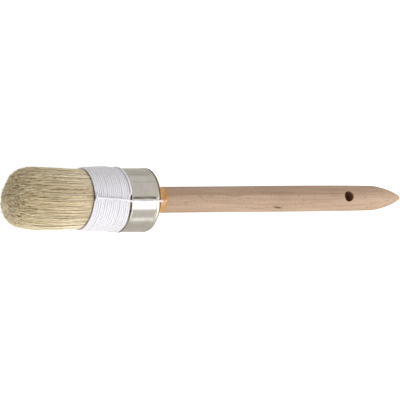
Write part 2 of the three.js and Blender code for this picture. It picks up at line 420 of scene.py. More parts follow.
def band(base: float, reach: Point) -> Point:
    """The two ends of a stretch in metres, from a place and its reach from there in millimetres."""
    return (base + reach[0]) * MM, (base + reach[1]) * MM


class Paint:
    """One material under way, laid out in the object's own coordinates."""

    def __init__(self, name: str) -> None:
        """Start a material with its Principled shader.

        Args:
            name: The material's name.
        """
        self.material = bpy.data.materials.new(name)
        self.material.use_nodes = True
        self.tree = self.material.node_tree
        self.shader = self.tree.nodes["Principled BSDF"]
        self.add = partial(add, self.tree)

    @cached_property
    def place(self) -> Any:
        """The socket that says where on the object a spot is, in metres."""
        return self.add("ShaderNodeTexCoord").outputs["Object"]

    @cached_property
    def split(self) -> Any:
        """The same as three sockets, X, Y and Z."""
        return self.add("ShaderNodeSeparateXYZ", self.place).outputs

    def streaks(self, along: float, across: float, **inputs: float) -> Any:
        """Noise drawn out along the brush or round it.

        Args:
            along: Its waves to the millimetre along the brush.
            across: Its waves to the millimetre across the brush.
            inputs: The noise's own inputs, such as Detail.

        Returns:
            The noise's node.
        """
        scale = (along / MM, across / MM, across / MM)
        stretched = self.add("ShaderNodeMapping", {"Vector": self.place, "Scale": scale})
        return self.add("ShaderNodeTexNoise", {"Vector": stretched, "Scale": 1.0, **inputs})

    def cover(self, colour: Any, masks: Iterable[tuple[Any, str]]) -> Any:
        """Lay stains over a colour, one after the other.

        Args:
            colour: The node or socket of the colour underneath.
            masks: Where each stain is, and its sRGB colour.

        Returns:
            The socket of the colour that comes out.
        """
        for mask, code in masks:
            colour = self.add("ShaderNodeMix", {"Factor": mask, 6: colour, 7: linear(code)},
                              data_type="RGBA").outputs[2]
        return colour

    def finish(self, inputs: dict[str, Any], bump: Any = None, strength: float = 1.0,
               relief: float = 0.0) -> bpy.types.Material:
        """Feed the shader.

        Args:
            inputs: What feeds each of the shader's inputs.
            bump: The node of the relief's height, if there is one.
            strength: How strongly the relief shows.
            relief: Its depth in millimetres.

        Returns:
            The finished material.
        """
        feed(self.tree, self.shader, inputs)
        if bump is not None:
            normal = self.add("ShaderNodeBump", {"Height": bump, "Strength": strength,
                                                 "Distance": relief * MM})
            feed(self.tree, self.shader, {"Normal": normal})
        return self.material


@dataclass(frozen=True)
class MineralStreak:
    """One dark streak in the wood, lying just under the surface of the rod."""

    x: float
    angle: float
    length: float
    width: float
    tilt: float
    strength: float


@dataclass(frozen=True)
class BeechFinish:
    """Bare beech, turned and sanded: greyish pink tan, nearly matt, with short dark ray flecks.

    Lengths are in millimetres. A pair holds a start and an end, or the values there.
    """

    pale: str = "#bca189"
    middle: str = "#a98e77"
    dark: str = "#92755d"
    fleck: str = "#6b4c38"
    mineral: str = "#574230"
    hole_shade: str = "#6d4524"
    stained: str = "#b48a4e"
    roughness: Point = (0.54, 0.68)
    pith: Triple = (0.0, -21.0, 13.0)
    ring_scale: float = 0.062
    ring_blur: Point = (-36.0, -15.0)
    ring_strength: Point = (0.24, 0.05)
    tone_levels: Point = (0.62, 1.2)
    fleck_scale: Triple = (0.33, 1.5, 1.5)
    fleck_edge: Point = (0.14, 0.36)
    fleck_luck: Point = (0.45, 0.95)
    fleck_strength: float = 0.75
    rod_radius: float = 8.3
    streak_depth: float = 1.2
    streak_edge: Point = (0.75, 1.4)
    streak_ragged: float = 0.7
    stain_edge: Point = (1.6, 8.1)
    stain_wander: float = 6.0
    stain_strength: float = 0.9
    hole_shade_edge: Point = (0.04, 0.2)
    hole_shade_strength: float = 0.85
    relief: float = 0.08
    streaks: tuple[MineralStreak, ...] = (
        MineralStreak(44.2, 49.5, 14.0, 1.9, -17.0, 1.0),
        MineralStreak(-13.5, -4.0, 3.0, 1.3, 5.0, 0.4),
        MineralStreak(-6.0, -6.0, 9.0, 1.0, 2.0, 0.35),
        MineralStreak(-24.5, 24.0, 4.0, 1.2, 3.0, 0.3),
        MineralStreak(12.0, -4.0, 12.0, 1.1, 1.0, 0.3),
        MineralStreak(28.0, 57.0, 18.0, 0.9, -2.0, 0.3),
        MineralStreak(88.0, -4.0, 10.0, 1.0, 1.0, 0.3),
    )

    def material(self, layout: Layout, hole_x: float, hole_radius: float) -> bpy.types.Material:
        """Paint the wood.

        Args:
            layout: The brush's places.
            hole_x: Place of the hanging hole.
            hole_radius: Its radius.

        Returns:
            The material.
        """
        paint = Paint("bare_beech")
        node, place, x = paint.add, paint.place, paint.split["X"]
        # The log's rings, about 5 mm apart, cut along the grain: the pith lies well outside the rod.
        pith = node("ShaderNodeMapping", {"Vector": place, "Location": Vector(self.pith) * MM,
                                          "Scale": (0.05, 1.0, 1.0)})
        rings = node("ShaderNodeTexWave",
                     {"Vector": pith, "Scale": self.ring_scale / MM, "Distortion": 3.2, "Detail": 3.0,
                      "Detail Scale": 1.4, "Detail Roughness": 0.6},
                     wave_type="RINGS", rings_direction="X", wave_profile="SAW")
        # Near the point the cut runs across the rings, and they blur into each other.
        clear = node("ShaderNodeMapRange", x, *band(layout.point_x, self.ring_blur), *self.ring_strength)
        mixed = node("ShaderNodeMath", rings.outputs["Fac"], clear, operation="MULTIPLY")
        # Fibres about 0.4 mm wide, coarser than real ones so that they show, grain lines about 1.3 mm
        # wide, and broad clouds of colour.
        layers = {}
        for name, along, across, share, detail in (("fibre", 0.045, 2.4, 0.45, 3.0),
                                                   ("grain", 0.024, 0.76, 0.62, 2.0),
                                                   ("cloud", 0.013, 0.08, 0.5, 2.0)):
            layers[name] = paint.streaks(along, across, Detail=detail, Roughness=0.6)
            mixed = node("ShaderNodeMath", layers[name], share, mixed, operation="MULTIPLY_ADD")
        level = node("ShaderNodeMapRange", mixed, *self.tone_levels)
        colour = node("ShaderNodeValToRGB", level,
                      stops=((0.0, self.pale), (0.5, self.middle), (1.0, self.dark)))
        # Ray flecks: dark dashes up to about 2 mm long and 0.5 mm wide, some barely there.
        cells = node("ShaderNodeMapping", {"Vector": place, "Scale": Vector(self.fleck_scale) / MM})
        spots = node("ShaderNodeTexVoronoi", {"Vector": cells, "Scale": 1.0}).outputs
        near = node("ShaderNodeMapRange", spots["Distance"], *self.fleck_edge, self.fleck_strength, 0.0)
        chosen = node("ShaderNodeSeparateColor", spots["Color"])
        picked = node("ShaderNodeMapRange", chosen.outputs["Red"], *self.fleck_luck)
        masks = [(node("ShaderNodeMath", near, picked, operation="MULTIPLY"), self.fleck)]
        # Mineral streaks, each a thin lens with ragged ends.
        for streak in self.streaks:
            turn = math.radians(streak.angle)
            centre = layout.around(streak.x, self.rod_radius, turn, leaning=False) * MM
            half = Vector((streak.length / 2, streak.width / 2, self.streak_depth)) * MM
            local = node("ShaderNodeMapping",
                         {"Vector": place, "Location": centre, "Scale": half,
                          "Rotation": (turn, 0.0, math.radians(streak.tilt))}, vector_type="TEXTURE")
            off = node("ShaderNodeVectorMath", local, operation="LENGTH").outputs["Value"]
            ragged = node("ShaderNodeMath", layers["fibre"], self.streak_ragged, off,
                          operation="MULTIPLY_ADD")
            masks.append((node("ShaderNodeMapRange", ragged, *self.streak_edge, streak.strength, 0.0),
                          self.mineral))
        # Resin has crept a little way into the wood beyond the collar.
        creep = node("ShaderNodeMath", layers["cloud"], self.stain_wander * MM, x,
                     operation="MULTIPLY_ADD")
        collar_end = layout.ferrule_rear_x + layout.resin_climb
        masks.append((node("ShaderNodeMapRange", creep, *band(collar_end, self.stain_edge),
                           self.stain_strength, 0.0), self.stained))
        # Painted shade in the hanging hole: everything nearer its line than its radius is painted dark brown.
        bore = node("ShaderNodeMapping", {"Vector": place, "Location": (-hole_x * MM, 0.0, 0.0),
                                          "Scale": (1.0, 1.0, 0.0)})
        off = node("ShaderNodeVectorMath", bore, operation="LENGTH").outputs["Value"]
        masks.append((node("ShaderNodeMapRange", off, *band(hole_radius, self.hole_shade_edge),
                           self.hole_shade_strength, 0.0), self.hole_shade))
        rough = node("ShaderNodeMapRange", layers["fibre"], 0.0, 1.0, *self.roughness)
        inputs = {"Base Color": paint.cover(colour, masks), "Roughness": rough,
                  "Specular IOR Level": 0.3}
        return paint.finish(inputs, layers["fibre"], 0.25, self.relief)


@dataclass(frozen=True)
class TinplateFinish:
    """Polished tinplate: a warm grey mirror, a little soft, with fine scratches round the ring.

    Lengths are in millimetres, and a pair holds a start and an end.
    """

    tin: str = "#bbb6ac"
    dull: str = "#b0aaa0"
    seam: str = "#7f7a70"
    dark_rim_line: str = "#7c6f5a"
    roughness: Point = (0.13, 0.21)
    seam_angle: float = -25.0
    seam_half: Point = (0.1, 0.4)
    seam_strength: float = 0.45
    dark_rim_reach: Point = (-0.6, -0.2)
    dark_rim_wander: float = 0.5
    dark_rim_less_metal: float = 0.8
    shoulder_reach: Point = (-2.2, -0.8)
    shoulder_roughness: float = 0.4
    relief: float = 0.03

    def material(self, layout: Layout) -> bpy.types.Material:
        """Paint the tin.

        Args:
            layout: The brush's places.

        Returns:
            The material.
        """
        paint = Paint("polished_tinplate")
        node, place, rim = paint.add, paint.place, layout.ferrule_rear_x
        # Polishing lines run round the ring, a quarter of a millimetre apart, which is coarser than
        # real ones so that they show, and duller patches are about 6 mm across.
        lines = paint.streaks(4.2, 0.06, Detail=2.0)
        patches = node("ShaderNodeTexNoise", {"Vector": place, "Scale": 0.16 / MM, "Detail": 3.0})
        tone = node("ShaderNodeValToRGB", patches, stops=((0.35, self.tin), (0.75, self.dull)))
        # The lap seam: a thin darker line along the ring, away from the strand.
        local = node("ShaderNodeMapping",
                     {"Vector": place, "Location": (0.0, 0.0, layout.axis_z * MM),
                      "Rotation": (math.radians(self.seam_angle), 0.0, 0.0)}, vector_type="TEXTURE")
        turned = node("ShaderNodeSeparateXYZ", local).outputs
        off = node("ShaderNodeMath", turned["Y"], operation="ABSOLUTE")
        upper = node("ShaderNodeMath", turned["Z"], 0.0, operation="GREATER_THAN")
        seam = node("ShaderNodeMapRange", off, *band(0.0, self.seam_half), self.seam_strength, 0.0)
        seam = node("ShaderNodeMath", seam, upper, operation="MULTIPLY")
        # The rear edge is painted darker and less metallic, a thin dark line round the rim.
        ragged = node("ShaderNodeMath", patches, self.dark_rim_wander * MM, turned["X"],
                      operation="MULTIPLY_ADD")
        cut = node("ShaderNodeMapRange", ragged, *band(rim, self.dark_rim_reach), 0.0, 1.0)
        metallic = node("ShaderNodeMath", cut, -self.dark_rim_less_metal, 1.0, operation="MULTIPLY_ADD")
        # Turning the rear shoulder in has left it duller than the rest.
        worn = node("ShaderNodeMapRange", patches, 0.3, 0.7, *self.roughness)
        bent = node("ShaderNodeMapRange", turned["X"], *band(rim, self.shoulder_reach), 0.0,
                    self.shoulder_roughness)
        rough = node("ShaderNodeMath", worn, bent, operation="ADD")
        colour = paint.cover(tone, ((seam, self.seam), (cut, self.dark_rim_line)))
        inputs = {"Base Color": colour, "Metallic": metallic, "Roughness": rough}
        return paint.finish(inputs, lines, 0.12, self.relief)


@dataclass(frozen=True)
class CordFinish:
    """Glazed cotton cord: cool white, soft sheen, with painted shade, a little grey, in the grooves of its
    twist.

    Lengths are in millimetres, and a pair holds a start and an end.
    """

    white: str = "#edebee"
    groove: str = "#e0dde2"
    soaked: str = "#e2b98c"
    roughness: float = 0.7
    groove_shade_share: float = 0.7
    stain_share: float = 0.22
    wet_reach: Point = (-2.2, 0.8)
    wet_strength: float = 0.9
    glow_depth: float = 0.8
    relief: float = 0.05

    def material(self, layout: Layout) -> bpy.types.Material:
        """Paint the cord, whose "groove" attribute is 1 between its plies.

        Args:
            layout: The brush's places.

        Returns:
            The material.
        """
        paint = Paint("white_cotton_cord")
        node, place = paint.add, paint.place
        groove = node("ShaderNodeAttribute", attribute_name="groove").outputs["Fac"]
        # Fuzz about 0.3 mm across, coarser than real fibres, and stains about 4.5 mm across.
        fuzz = node("ShaderNodeTexNoise", {"Vector": place, "Scale": 3.5 / MM, "Detail": 2.0})
        stain = node("ShaderNodeTexNoise", {"Vector": place, "Scale": 0.22 / MM, "Detail": 2.0})
        # The grooves between the plies are painted a little greyer as painted shade; the stains use the same
        # grey.
        depth = node("ShaderNodeMath", groove, self.groove_shade_share, operation="MULTIPLY")
        depth = node("ShaderNodeMath", stain, self.stain_share, depth, operation="MULTIPLY_ADD")
        tone = node("ShaderNodeValToRGB", depth, stops=((0.05, self.white), (0.95, self.groove)))
        # Behind the ferrule's rim the cord has drunk resin.
        wet = node("ShaderNodeMapRange", paint.split["X"], *band(layout.ferrule_rear_x, self.wet_reach),
                   0.0, self.wet_strength)
        # Light passes from fibre to fibre, so the grooves between the turns are never black.
        inputs = {"Base Color": paint.cover(tone, ((wet, self.soaked),)), "Roughness": self.roughness,
                  "Sheen Weight": 0.15, "Subsurface Weight": 0.5,
                  "Subsurface Radius": (self.glow_depth * MM,) * 3}
        return paint.finish(inputs, fuzz, 0.35, self.relief)


@dataclass(frozen=True)
class BristleFinish:
    """Washed hog bristle: straw to light brown, waxy, each bristle its own shade.

    Lengths are in millimetres. A pair holds a start and an end, or the values there, and a share is
    one of the free length.
    """

    light: str = "#fff7e2"
    straw: str = "#efdfbf"
    tan: str = "#dfcba6"
    brown: str = "#806a3c"
    tip: str = "#ecdcae"
    crevice_shade: str = "#2e2416"
    roughness: float = 0.48
    own_tone: float = 0.7
    open_share: Point = (0.3, 1.0)
    dash_shade_contrast: Point = (1.2, 2.2)
    tuft_share: Point = (0.62, 0.95)
    tuft_shade_contrast: Point = (0.0, 1.3)
    front_slope: float = 0.59
    painted_side_heights: Point = (-12.0, 18.0)
    painted_side_shade: Point = (0.13, -0.17)
    underside_shade_heights: Point = (-22.5, -17.0)
    underside_shade: Point = (-0.34, 0.0)
    tone_levels: Point = (-0.36, 0.5)
    tip_share: Point = (0.4, 0.8)
    tip_strength: float = 0.33
    crevice_shade_reach: Point = (-1.0, 0.2)
    crevice_shade_strength: float = 0.85

    def material(self, layout: Layout) -> bpy.types.Material:
        """Paint the bristles from their "tone" and "along" attributes.

        Args:
            layout: The brush's places.

        Returns:
            The material.
        """
        paint = Paint("hog_bristle")
        node, split = paint.add, paint.split
        tone = node("ShaderNodeAttribute", attribute_name="tone").outputs["Fac"]
        along = node("ShaderNodeAttribute", attribute_name="along").outputs["Fac"]
        mixed = node("ShaderNodeMath", tone, self.own_tone, operation="MULTIPLY")
        # Dashes about 3.6 mm long and 0.6 mm wide, painted light and shade where a bristle comes up or dips
        # under others.
        # The bristles open towards their tips, so this painted light and shade grows stronger there.
        dash_light_and_shade = node("ShaderNodeMapRange", along, *self.open_share, *self.dash_shade_contrast)
        # Painted shade in dark hollows between tufts of tips, which are painted light, about 2 mm apart.
        tuft_light_and_shade = node("ShaderNodeMapRange", along, *self.tuft_share, *self.tuft_shade_contrast)
        for lengthwise, across, contrast in ((0.28, 1.75, dash_light_and_shade), (0.13, 0.43, tuft_light_and_shade)):
            noise = paint.streaks(lengthwise, across, Detail=1.5)
            swing = node("ShaderNodeMath", noise, 0.5, operation="SUBTRACT")
            mixed = node("ShaderNodeMath", swing, contrast, mixed, operation="MULTIPLY_ADD")
        # Painted shade: the upper side is painted a little browner than the side turned to the front, as the
        # light falls.
        # Underneath, the lowest strands are painted darker still, painted shade.
        height = node("ShaderNodeMath", split["Y"], self.front_slope, split["Z"],
                      operation="MULTIPLY_ADD")
        for heights, tones in ((self.painted_side_heights, self.painted_side_shade),
                               (self.underside_shade_heights, self.underside_shade)):
            shift = node("ShaderNodeMapRange", height, *band(layout.axis_z, heights), *tones)
            mixed = node("ShaderNodeMath", mixed, shift, operation="ADD")
        level = node("ShaderNodeMapRange", mixed, *self.tone_levels)
        shade = node("ShaderNodeValToRGB", level, stops=((0.0, self.brown), (0.28, self.tan),
                                                         (0.6, self.straw), (1.0, self.light)))
        # Towards the tips the bristles are painted paler: flagged tips are paler, and the extra paleness is
        # painted light on the dome's face.
        tipped = node("ShaderNodeMapRange", along, *self.tip_share, 0.0, self.tip_strength)
        # Where the cord pinches the bristles, a thin dark line of painted shade stands for the shadow in the
        # crevice.
        near_side = node("ShaderNodeMath", split["Y"], 0.0, operation="MINIMUM")
        edge = node("ShaderNodeMath", near_side, -layout.mouth_slant / layout.ferrule_radius,
                    split["X"], operation="MULTIPLY_ADD")
        painted_crevice_shade = node("ShaderNodeMapRange", edge, *band(layout.mouth_x, self.crevice_shade_reach), 0.0,
                       self.crevice_shade_strength)
        colour = paint.cover(shade, ((tipped, self.tip), (painted_crevice_shade, self.crevice_shade)))
        return paint.finish({"Base Color": colour, "Roughness": self.roughness,
                             "Specular IOR Level": 0.2})


@dataclass(frozen=True)
class PackedBristleFinish:
    """Packed bristle that reads as one streaked body, its dark streaks painted shade where no light gets in.

    Lower down it is painted paler, as painted light, up to a height over the table given in millimetres,
    fading out above it.
    """

    name: str
    pale: str
    dark: str
    painted_light_grey: str = "#b5afa2"
    painted_light_below: float = 0.0
    painted_light_fade: float = 3.0
    painted_light_strength: float = 0.8
    roughness: float = 0.5
    relief: float = 0.2

    def material(self) -> bpy.types.Material:
        """Paint the packed bristles with streaks along the brush, about 0.5 mm wide.

        Returns:
            The material.
        """
        paint = Paint(self.name)
        streaks = paint.streaks(0.08, 2.0, Detail=3.0)
        tone = paint.add("ShaderNodeValToRGB", streaks, stops=((0.38, self.dark), (0.68, self.pale)))
        # Lower down in the gap it is painted paler and greyer, painted light; higher up it keeps its painted
        # shade.
        low = paint.add("ShaderNodeMapRange", paint.split["Z"],
                        *band(self.painted_light_below, (0.0, self.painted_light_fade)), self.painted_light_strength, 0.0)
        inputs = {"Base Color": paint.cover(tone, ((low, self.painted_light_grey),)), "Roughness": self.roughness}
        return paint.finish(inputs, streaks, 0.6, self.relief)


@dataclass(frozen=True)
class ResinFinish:
    """Amber setting resin: poured, glossy, orange where it is thick and ochre where it is thin."""

    amber: str = "#c1913c"
    thick: str = "#a66d28"
    dark_over_rim: str = "#7f6538"
    roughness: float = 0.22
    dark_over_rim_reach: Point = (-1.6, -0.8)
    dark_over_rim_strength: float = 0.9
    glow_depths: Triple = (4.0, 2.0, 0.8)
    relief: float = 0.4

    def material(self, layout: Layout) -> bpy.types.Material:
        """Paint the resin.

        Args:
            layout: The brush's places.

        Returns:
            The material.
        """
        paint = Paint("amber_resin")
        node, place = paint.add, paint.place
        # Thick and thin spots, about 4 mm across.
        clouds = node("ShaderNodeTexNoise", {"Vector": place, "Scale": 0.26 / MM, "Detail": 2.0})
        tone = node("ShaderNodeValToRGB", clouds, stops=((0.35, self.amber), (0.7, self.thick)))
        # Where it lies over the ferrule's edge it is painted darker.
        local = node("ShaderNodeMapping", {"Vector": place, "Scale": (0.0, 1.0, 1.0),
                                           "Location": (0.0, 0.0, -layout.axis_z * MM)})
        out = node("ShaderNodeVectorMath", local, operation="LENGTH").outputs["Value"]
        dark_over_rim = node("ShaderNodeMapRange", out, *band(layout.ferrule_radius, self.dark_over_rim_reach), 0.0,
                     self.dark_over_rim_strength)
        inputs = {"Base Color": paint.cover(tone, ((dark_over_rim, self.dark_over_rim),)), "Roughness": self.roughness,
                  "Subsurface Weight": 0.25, "Subsurface Radius": Vector(self.glow_depths) * MM,
                  "Coat Weight": 0.2}
        return paint.finish(inputs, clouds, 0.3, self.relief)


# ---------------------------------------------------------------- sub-assemblies


@dataclass
class Handle:
    """The turned beech handle with its tenon, ogive point and hanging hole."""

    layout: Layout
    finish: BeechFinish
    neck_radius: float = 8.2
    belly_radius: float = 8.5
    belly_place: float = 120.0
    shoulder_radius: float = 8.27
    point_length: float = 24.5
    point_ease: float = 0.24
    tip_ease: float = 0.06
    tip_fullness: float = 0.46
    tenon_tip_radius: float = 5.6
    tenon_chamfer: float = 1.8
    hole_radius: float = 3.4
    hole_from_point: float = 46.5
    hole_edge: float = 0.35
    hole_sides: int = 72
    edge_angle: float = 50.0
    steps: int = 128
    front_steps: int = 90
    rear_steps: int = 40
    point_steps: int = 36

    @property
    def hole_x(self) -> float:
        """Place of the hanging hole along the brush."""
        return self.layout.point_x - self.hole_from_point

    def profile(self) -> list[Point]:
        """The rod's outline from the tenon's tip to the point.

        Returns:
            Places along X and radii.
        """
        lay, neck, belly, shoulder = (self.layout, self.neck_radius, self.belly_radius,
                                      self.shoulder_radius)
        points = [(lay.tenon_tip_x, 0.0), (lay.tenon_tip_x, self.tenon_tip_radius - self.tenon_chamfer),
                  (lay.tenon_tip_x + self.tenon_chamfer, self.tenon_tip_radius)]
        belly_x = lay.ferrule_rear_x + self.belly_place
        shoulder_x = lay.point_x - self.point_length
        for i in range(self.front_steps + 1):
            share = i / self.front_steps
            swell = math.sin(share * math.pi / 2) ** 2
            points.append((lay.ferrule_rear_x + (belly_x - lay.ferrule_rear_x) * share,
                           neck + (belly - neck) * swell))
        for i in range(1, self.rear_steps):
            share = i / self.rear_steps
            points.append((belly_x + (shoulder_x - belly_x) * share,
                           belly + (shoulder - belly) * share ** 2))
        start = np.array((shoulder_x, shoulder))
        leave = np.array((shoulder_x + self.point_length * self.point_ease, shoulder))
        round_off = np.array((lay.point_x - self.point_length * self.tip_ease,
                              shoulder * self.tip_fullness))
        tip = np.array((lay.point_x, 0.0))
        for i in range(self.point_steps + 1):
            t = i / self.point_steps
            spot = ((1 - t) ** 3 * start + 3 * t * (1 - t) ** 2 * leave
                    + 3 * t * t * (1 - t) * round_off + t ** 3 * tip)
            points.append((float(spot[0]), max(float(spot[1]), 0.0)))
        return points

    def build(self) -> Any:
        """Turn the rod, drill it and ease the hole's edges.

        Returns:
            The bare rod.
        """
        rod = self.layout.revolve("handle_rod", self.profile(), self.steps)
        drill = place_object("drill", bpy.data.meshes.new("drill"))
        bit = bmesh.new()
        bmesh.ops.create_cone(
            bit, cap_ends=True, segments=self.hole_sides, radius1=self.hole_radius * MM,
            radius2=self.hole_radius * MM, depth=4 * self.belly_radius * MM,
            matrix=Matrix.Translation(Vector((self.hole_x, 0, self.layout.axis_z)) * MM))
        bit.to_mesh(drill.data)
        bit.free()
        cut = rod.modifiers.new("hole", "BOOLEAN")
        cut.operation, cut.solver, cut.object = "DIFFERENCE", "EXACT", drill
        edge = rod.modifiers.new("eased_edge", "BEVEL")
        edge.limit_method, edge.angle_limit = "ANGLE", math.radians(self.edge_angle)
        edge.width, edge.segments = self.hole_edge * MM, 3
        rod.data = evaluated_mesh(rod, "handle_rod")
        rod.modifiers.clear()
        bpy.data.objects.remove(drill)
        for face in rod.data.polygons:
            face.use_smooth = True
        return rod

    def make(self) -> Any:
        """Build, dress and place the handle.

        Returns:
            The handle.
        """
        rod = self.build()
        rod.data.materials.clear()
        rod.data.materials.append(self.finish.material(self.layout, self.hole_x, self.hole_radius))
        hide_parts("handle")
        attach(rod, BRUSH_BODY)
        return rod


@dataclass
class Ferrule:
    """The tinplate ring: hemmed front lip, plain wall, rolled bead and inward rear shoulder.

    A pair is a step along the brush and one outwards, and an arc's pair its first and last angle.
    """

    layout: Layout
    finish: TinplateFinish
    wall: float = 0.45
    front_reach: float = 0.5
    throat: tuple[Point, ...] = ((3.0, 0.0), (1.2, 0.0), (0.3, -0.02))
    lip_height: float = 0.2
    lip_width: float = 0.9
    lip_arc: Point = (200.0, 40.0)
    lip_foot: tuple[Point, ...] = ((0.05, 0.01), (0.2, 0.0))
    wall_start: float = 1.5
    bead_height: float = 0.28
    bead_width: float = 3.1
    bead_gap: float = 0.25
    bead_rise: float = 0.25
    bead_fall: float = 0.85
    bead_fall_from: float = 0.2
    bead_curve: float = 1.8
    rear_round: float = 0.3
    rear_arc: Point = (60.0, 0.0)
    shoulder_width: float = 1.7
    shoulder_edge: Point = (0.12, 0.1)
    shoulder_lap: float = 0.4
    lip_steps: int = 10
    wall_steps: int = 10
    bead_steps: int = 24
    rear_steps: int = 5
    steps: int = 192

    def profile(self) -> list[Point]:
        """The ring's section, closed on itself.

        Returns:
            Places along X and radii.
        """
        lay = self.layout
        outside, rear = lay.ferrule_radius, lay.ferrule_rear_x
        front = lay.ferrule_front_x - self.front_reach
        bore, inside = outside - self.wall, outside - self.shoulder_width
        hem = self.lip_width / 2
        points = [(front + x, bore + out) for x, out in self.throat]
        points += arc((front + hem, outside + self.lip_height - hem), hem, *self.lip_arc, self.lip_steps)
        points += [(front + self.lip_width + x, outside + out) for x, out in self.lip_foot]
        start, end = front + self.wall_start, rear - self.bead_width - self.bead_gap
        points += [(start + (end - front - self.wall_start) * i / self.wall_steps, outside)
                   for i in range(self.wall_steps + 1)]
        # The rolled bead: a short rise, then a long round fall to the rear.
        for i in range(1, self.bead_steps + 1):
            share = i / self.bead_steps
            fall = self.bead_fall * max(share - self.bead_fall_from, 0.0) ** self.bead_curve
            points.append((rear - self.bead_width + (self.bead_width - self.rear_round) * share,
                           outside + self.bead_height * ease(share, 0.0, self.bead_rise) - fall))
        points += arc((rear - self.rear_round, points[-1][1] - self.rear_round), self.rear_round,
                      *self.rear_arc, self.rear_steps)
        turn_in, turn_out = self.shoulder_edge
        points += [(rear, inside + turn_out), (rear - turn_in, inside), (rear - self.wall, inside),
                   (rear - self.wall, bore - self.shoulder_lap), (rear - self.wall * 2, bore)]
        return points + [points[0]]

    def make(self) -> Any:
        """Build, dress and place the ferrule.

        Returns:
            The ferrule.
        """
        ring = self.layout.revolve("ferrule_ring", self.profile(), self.steps)
        ring.data.materials.append(self.finish.material(self.layout))
        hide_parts("ferrule")
        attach(ring, BRUSH_BODY)
        return ring


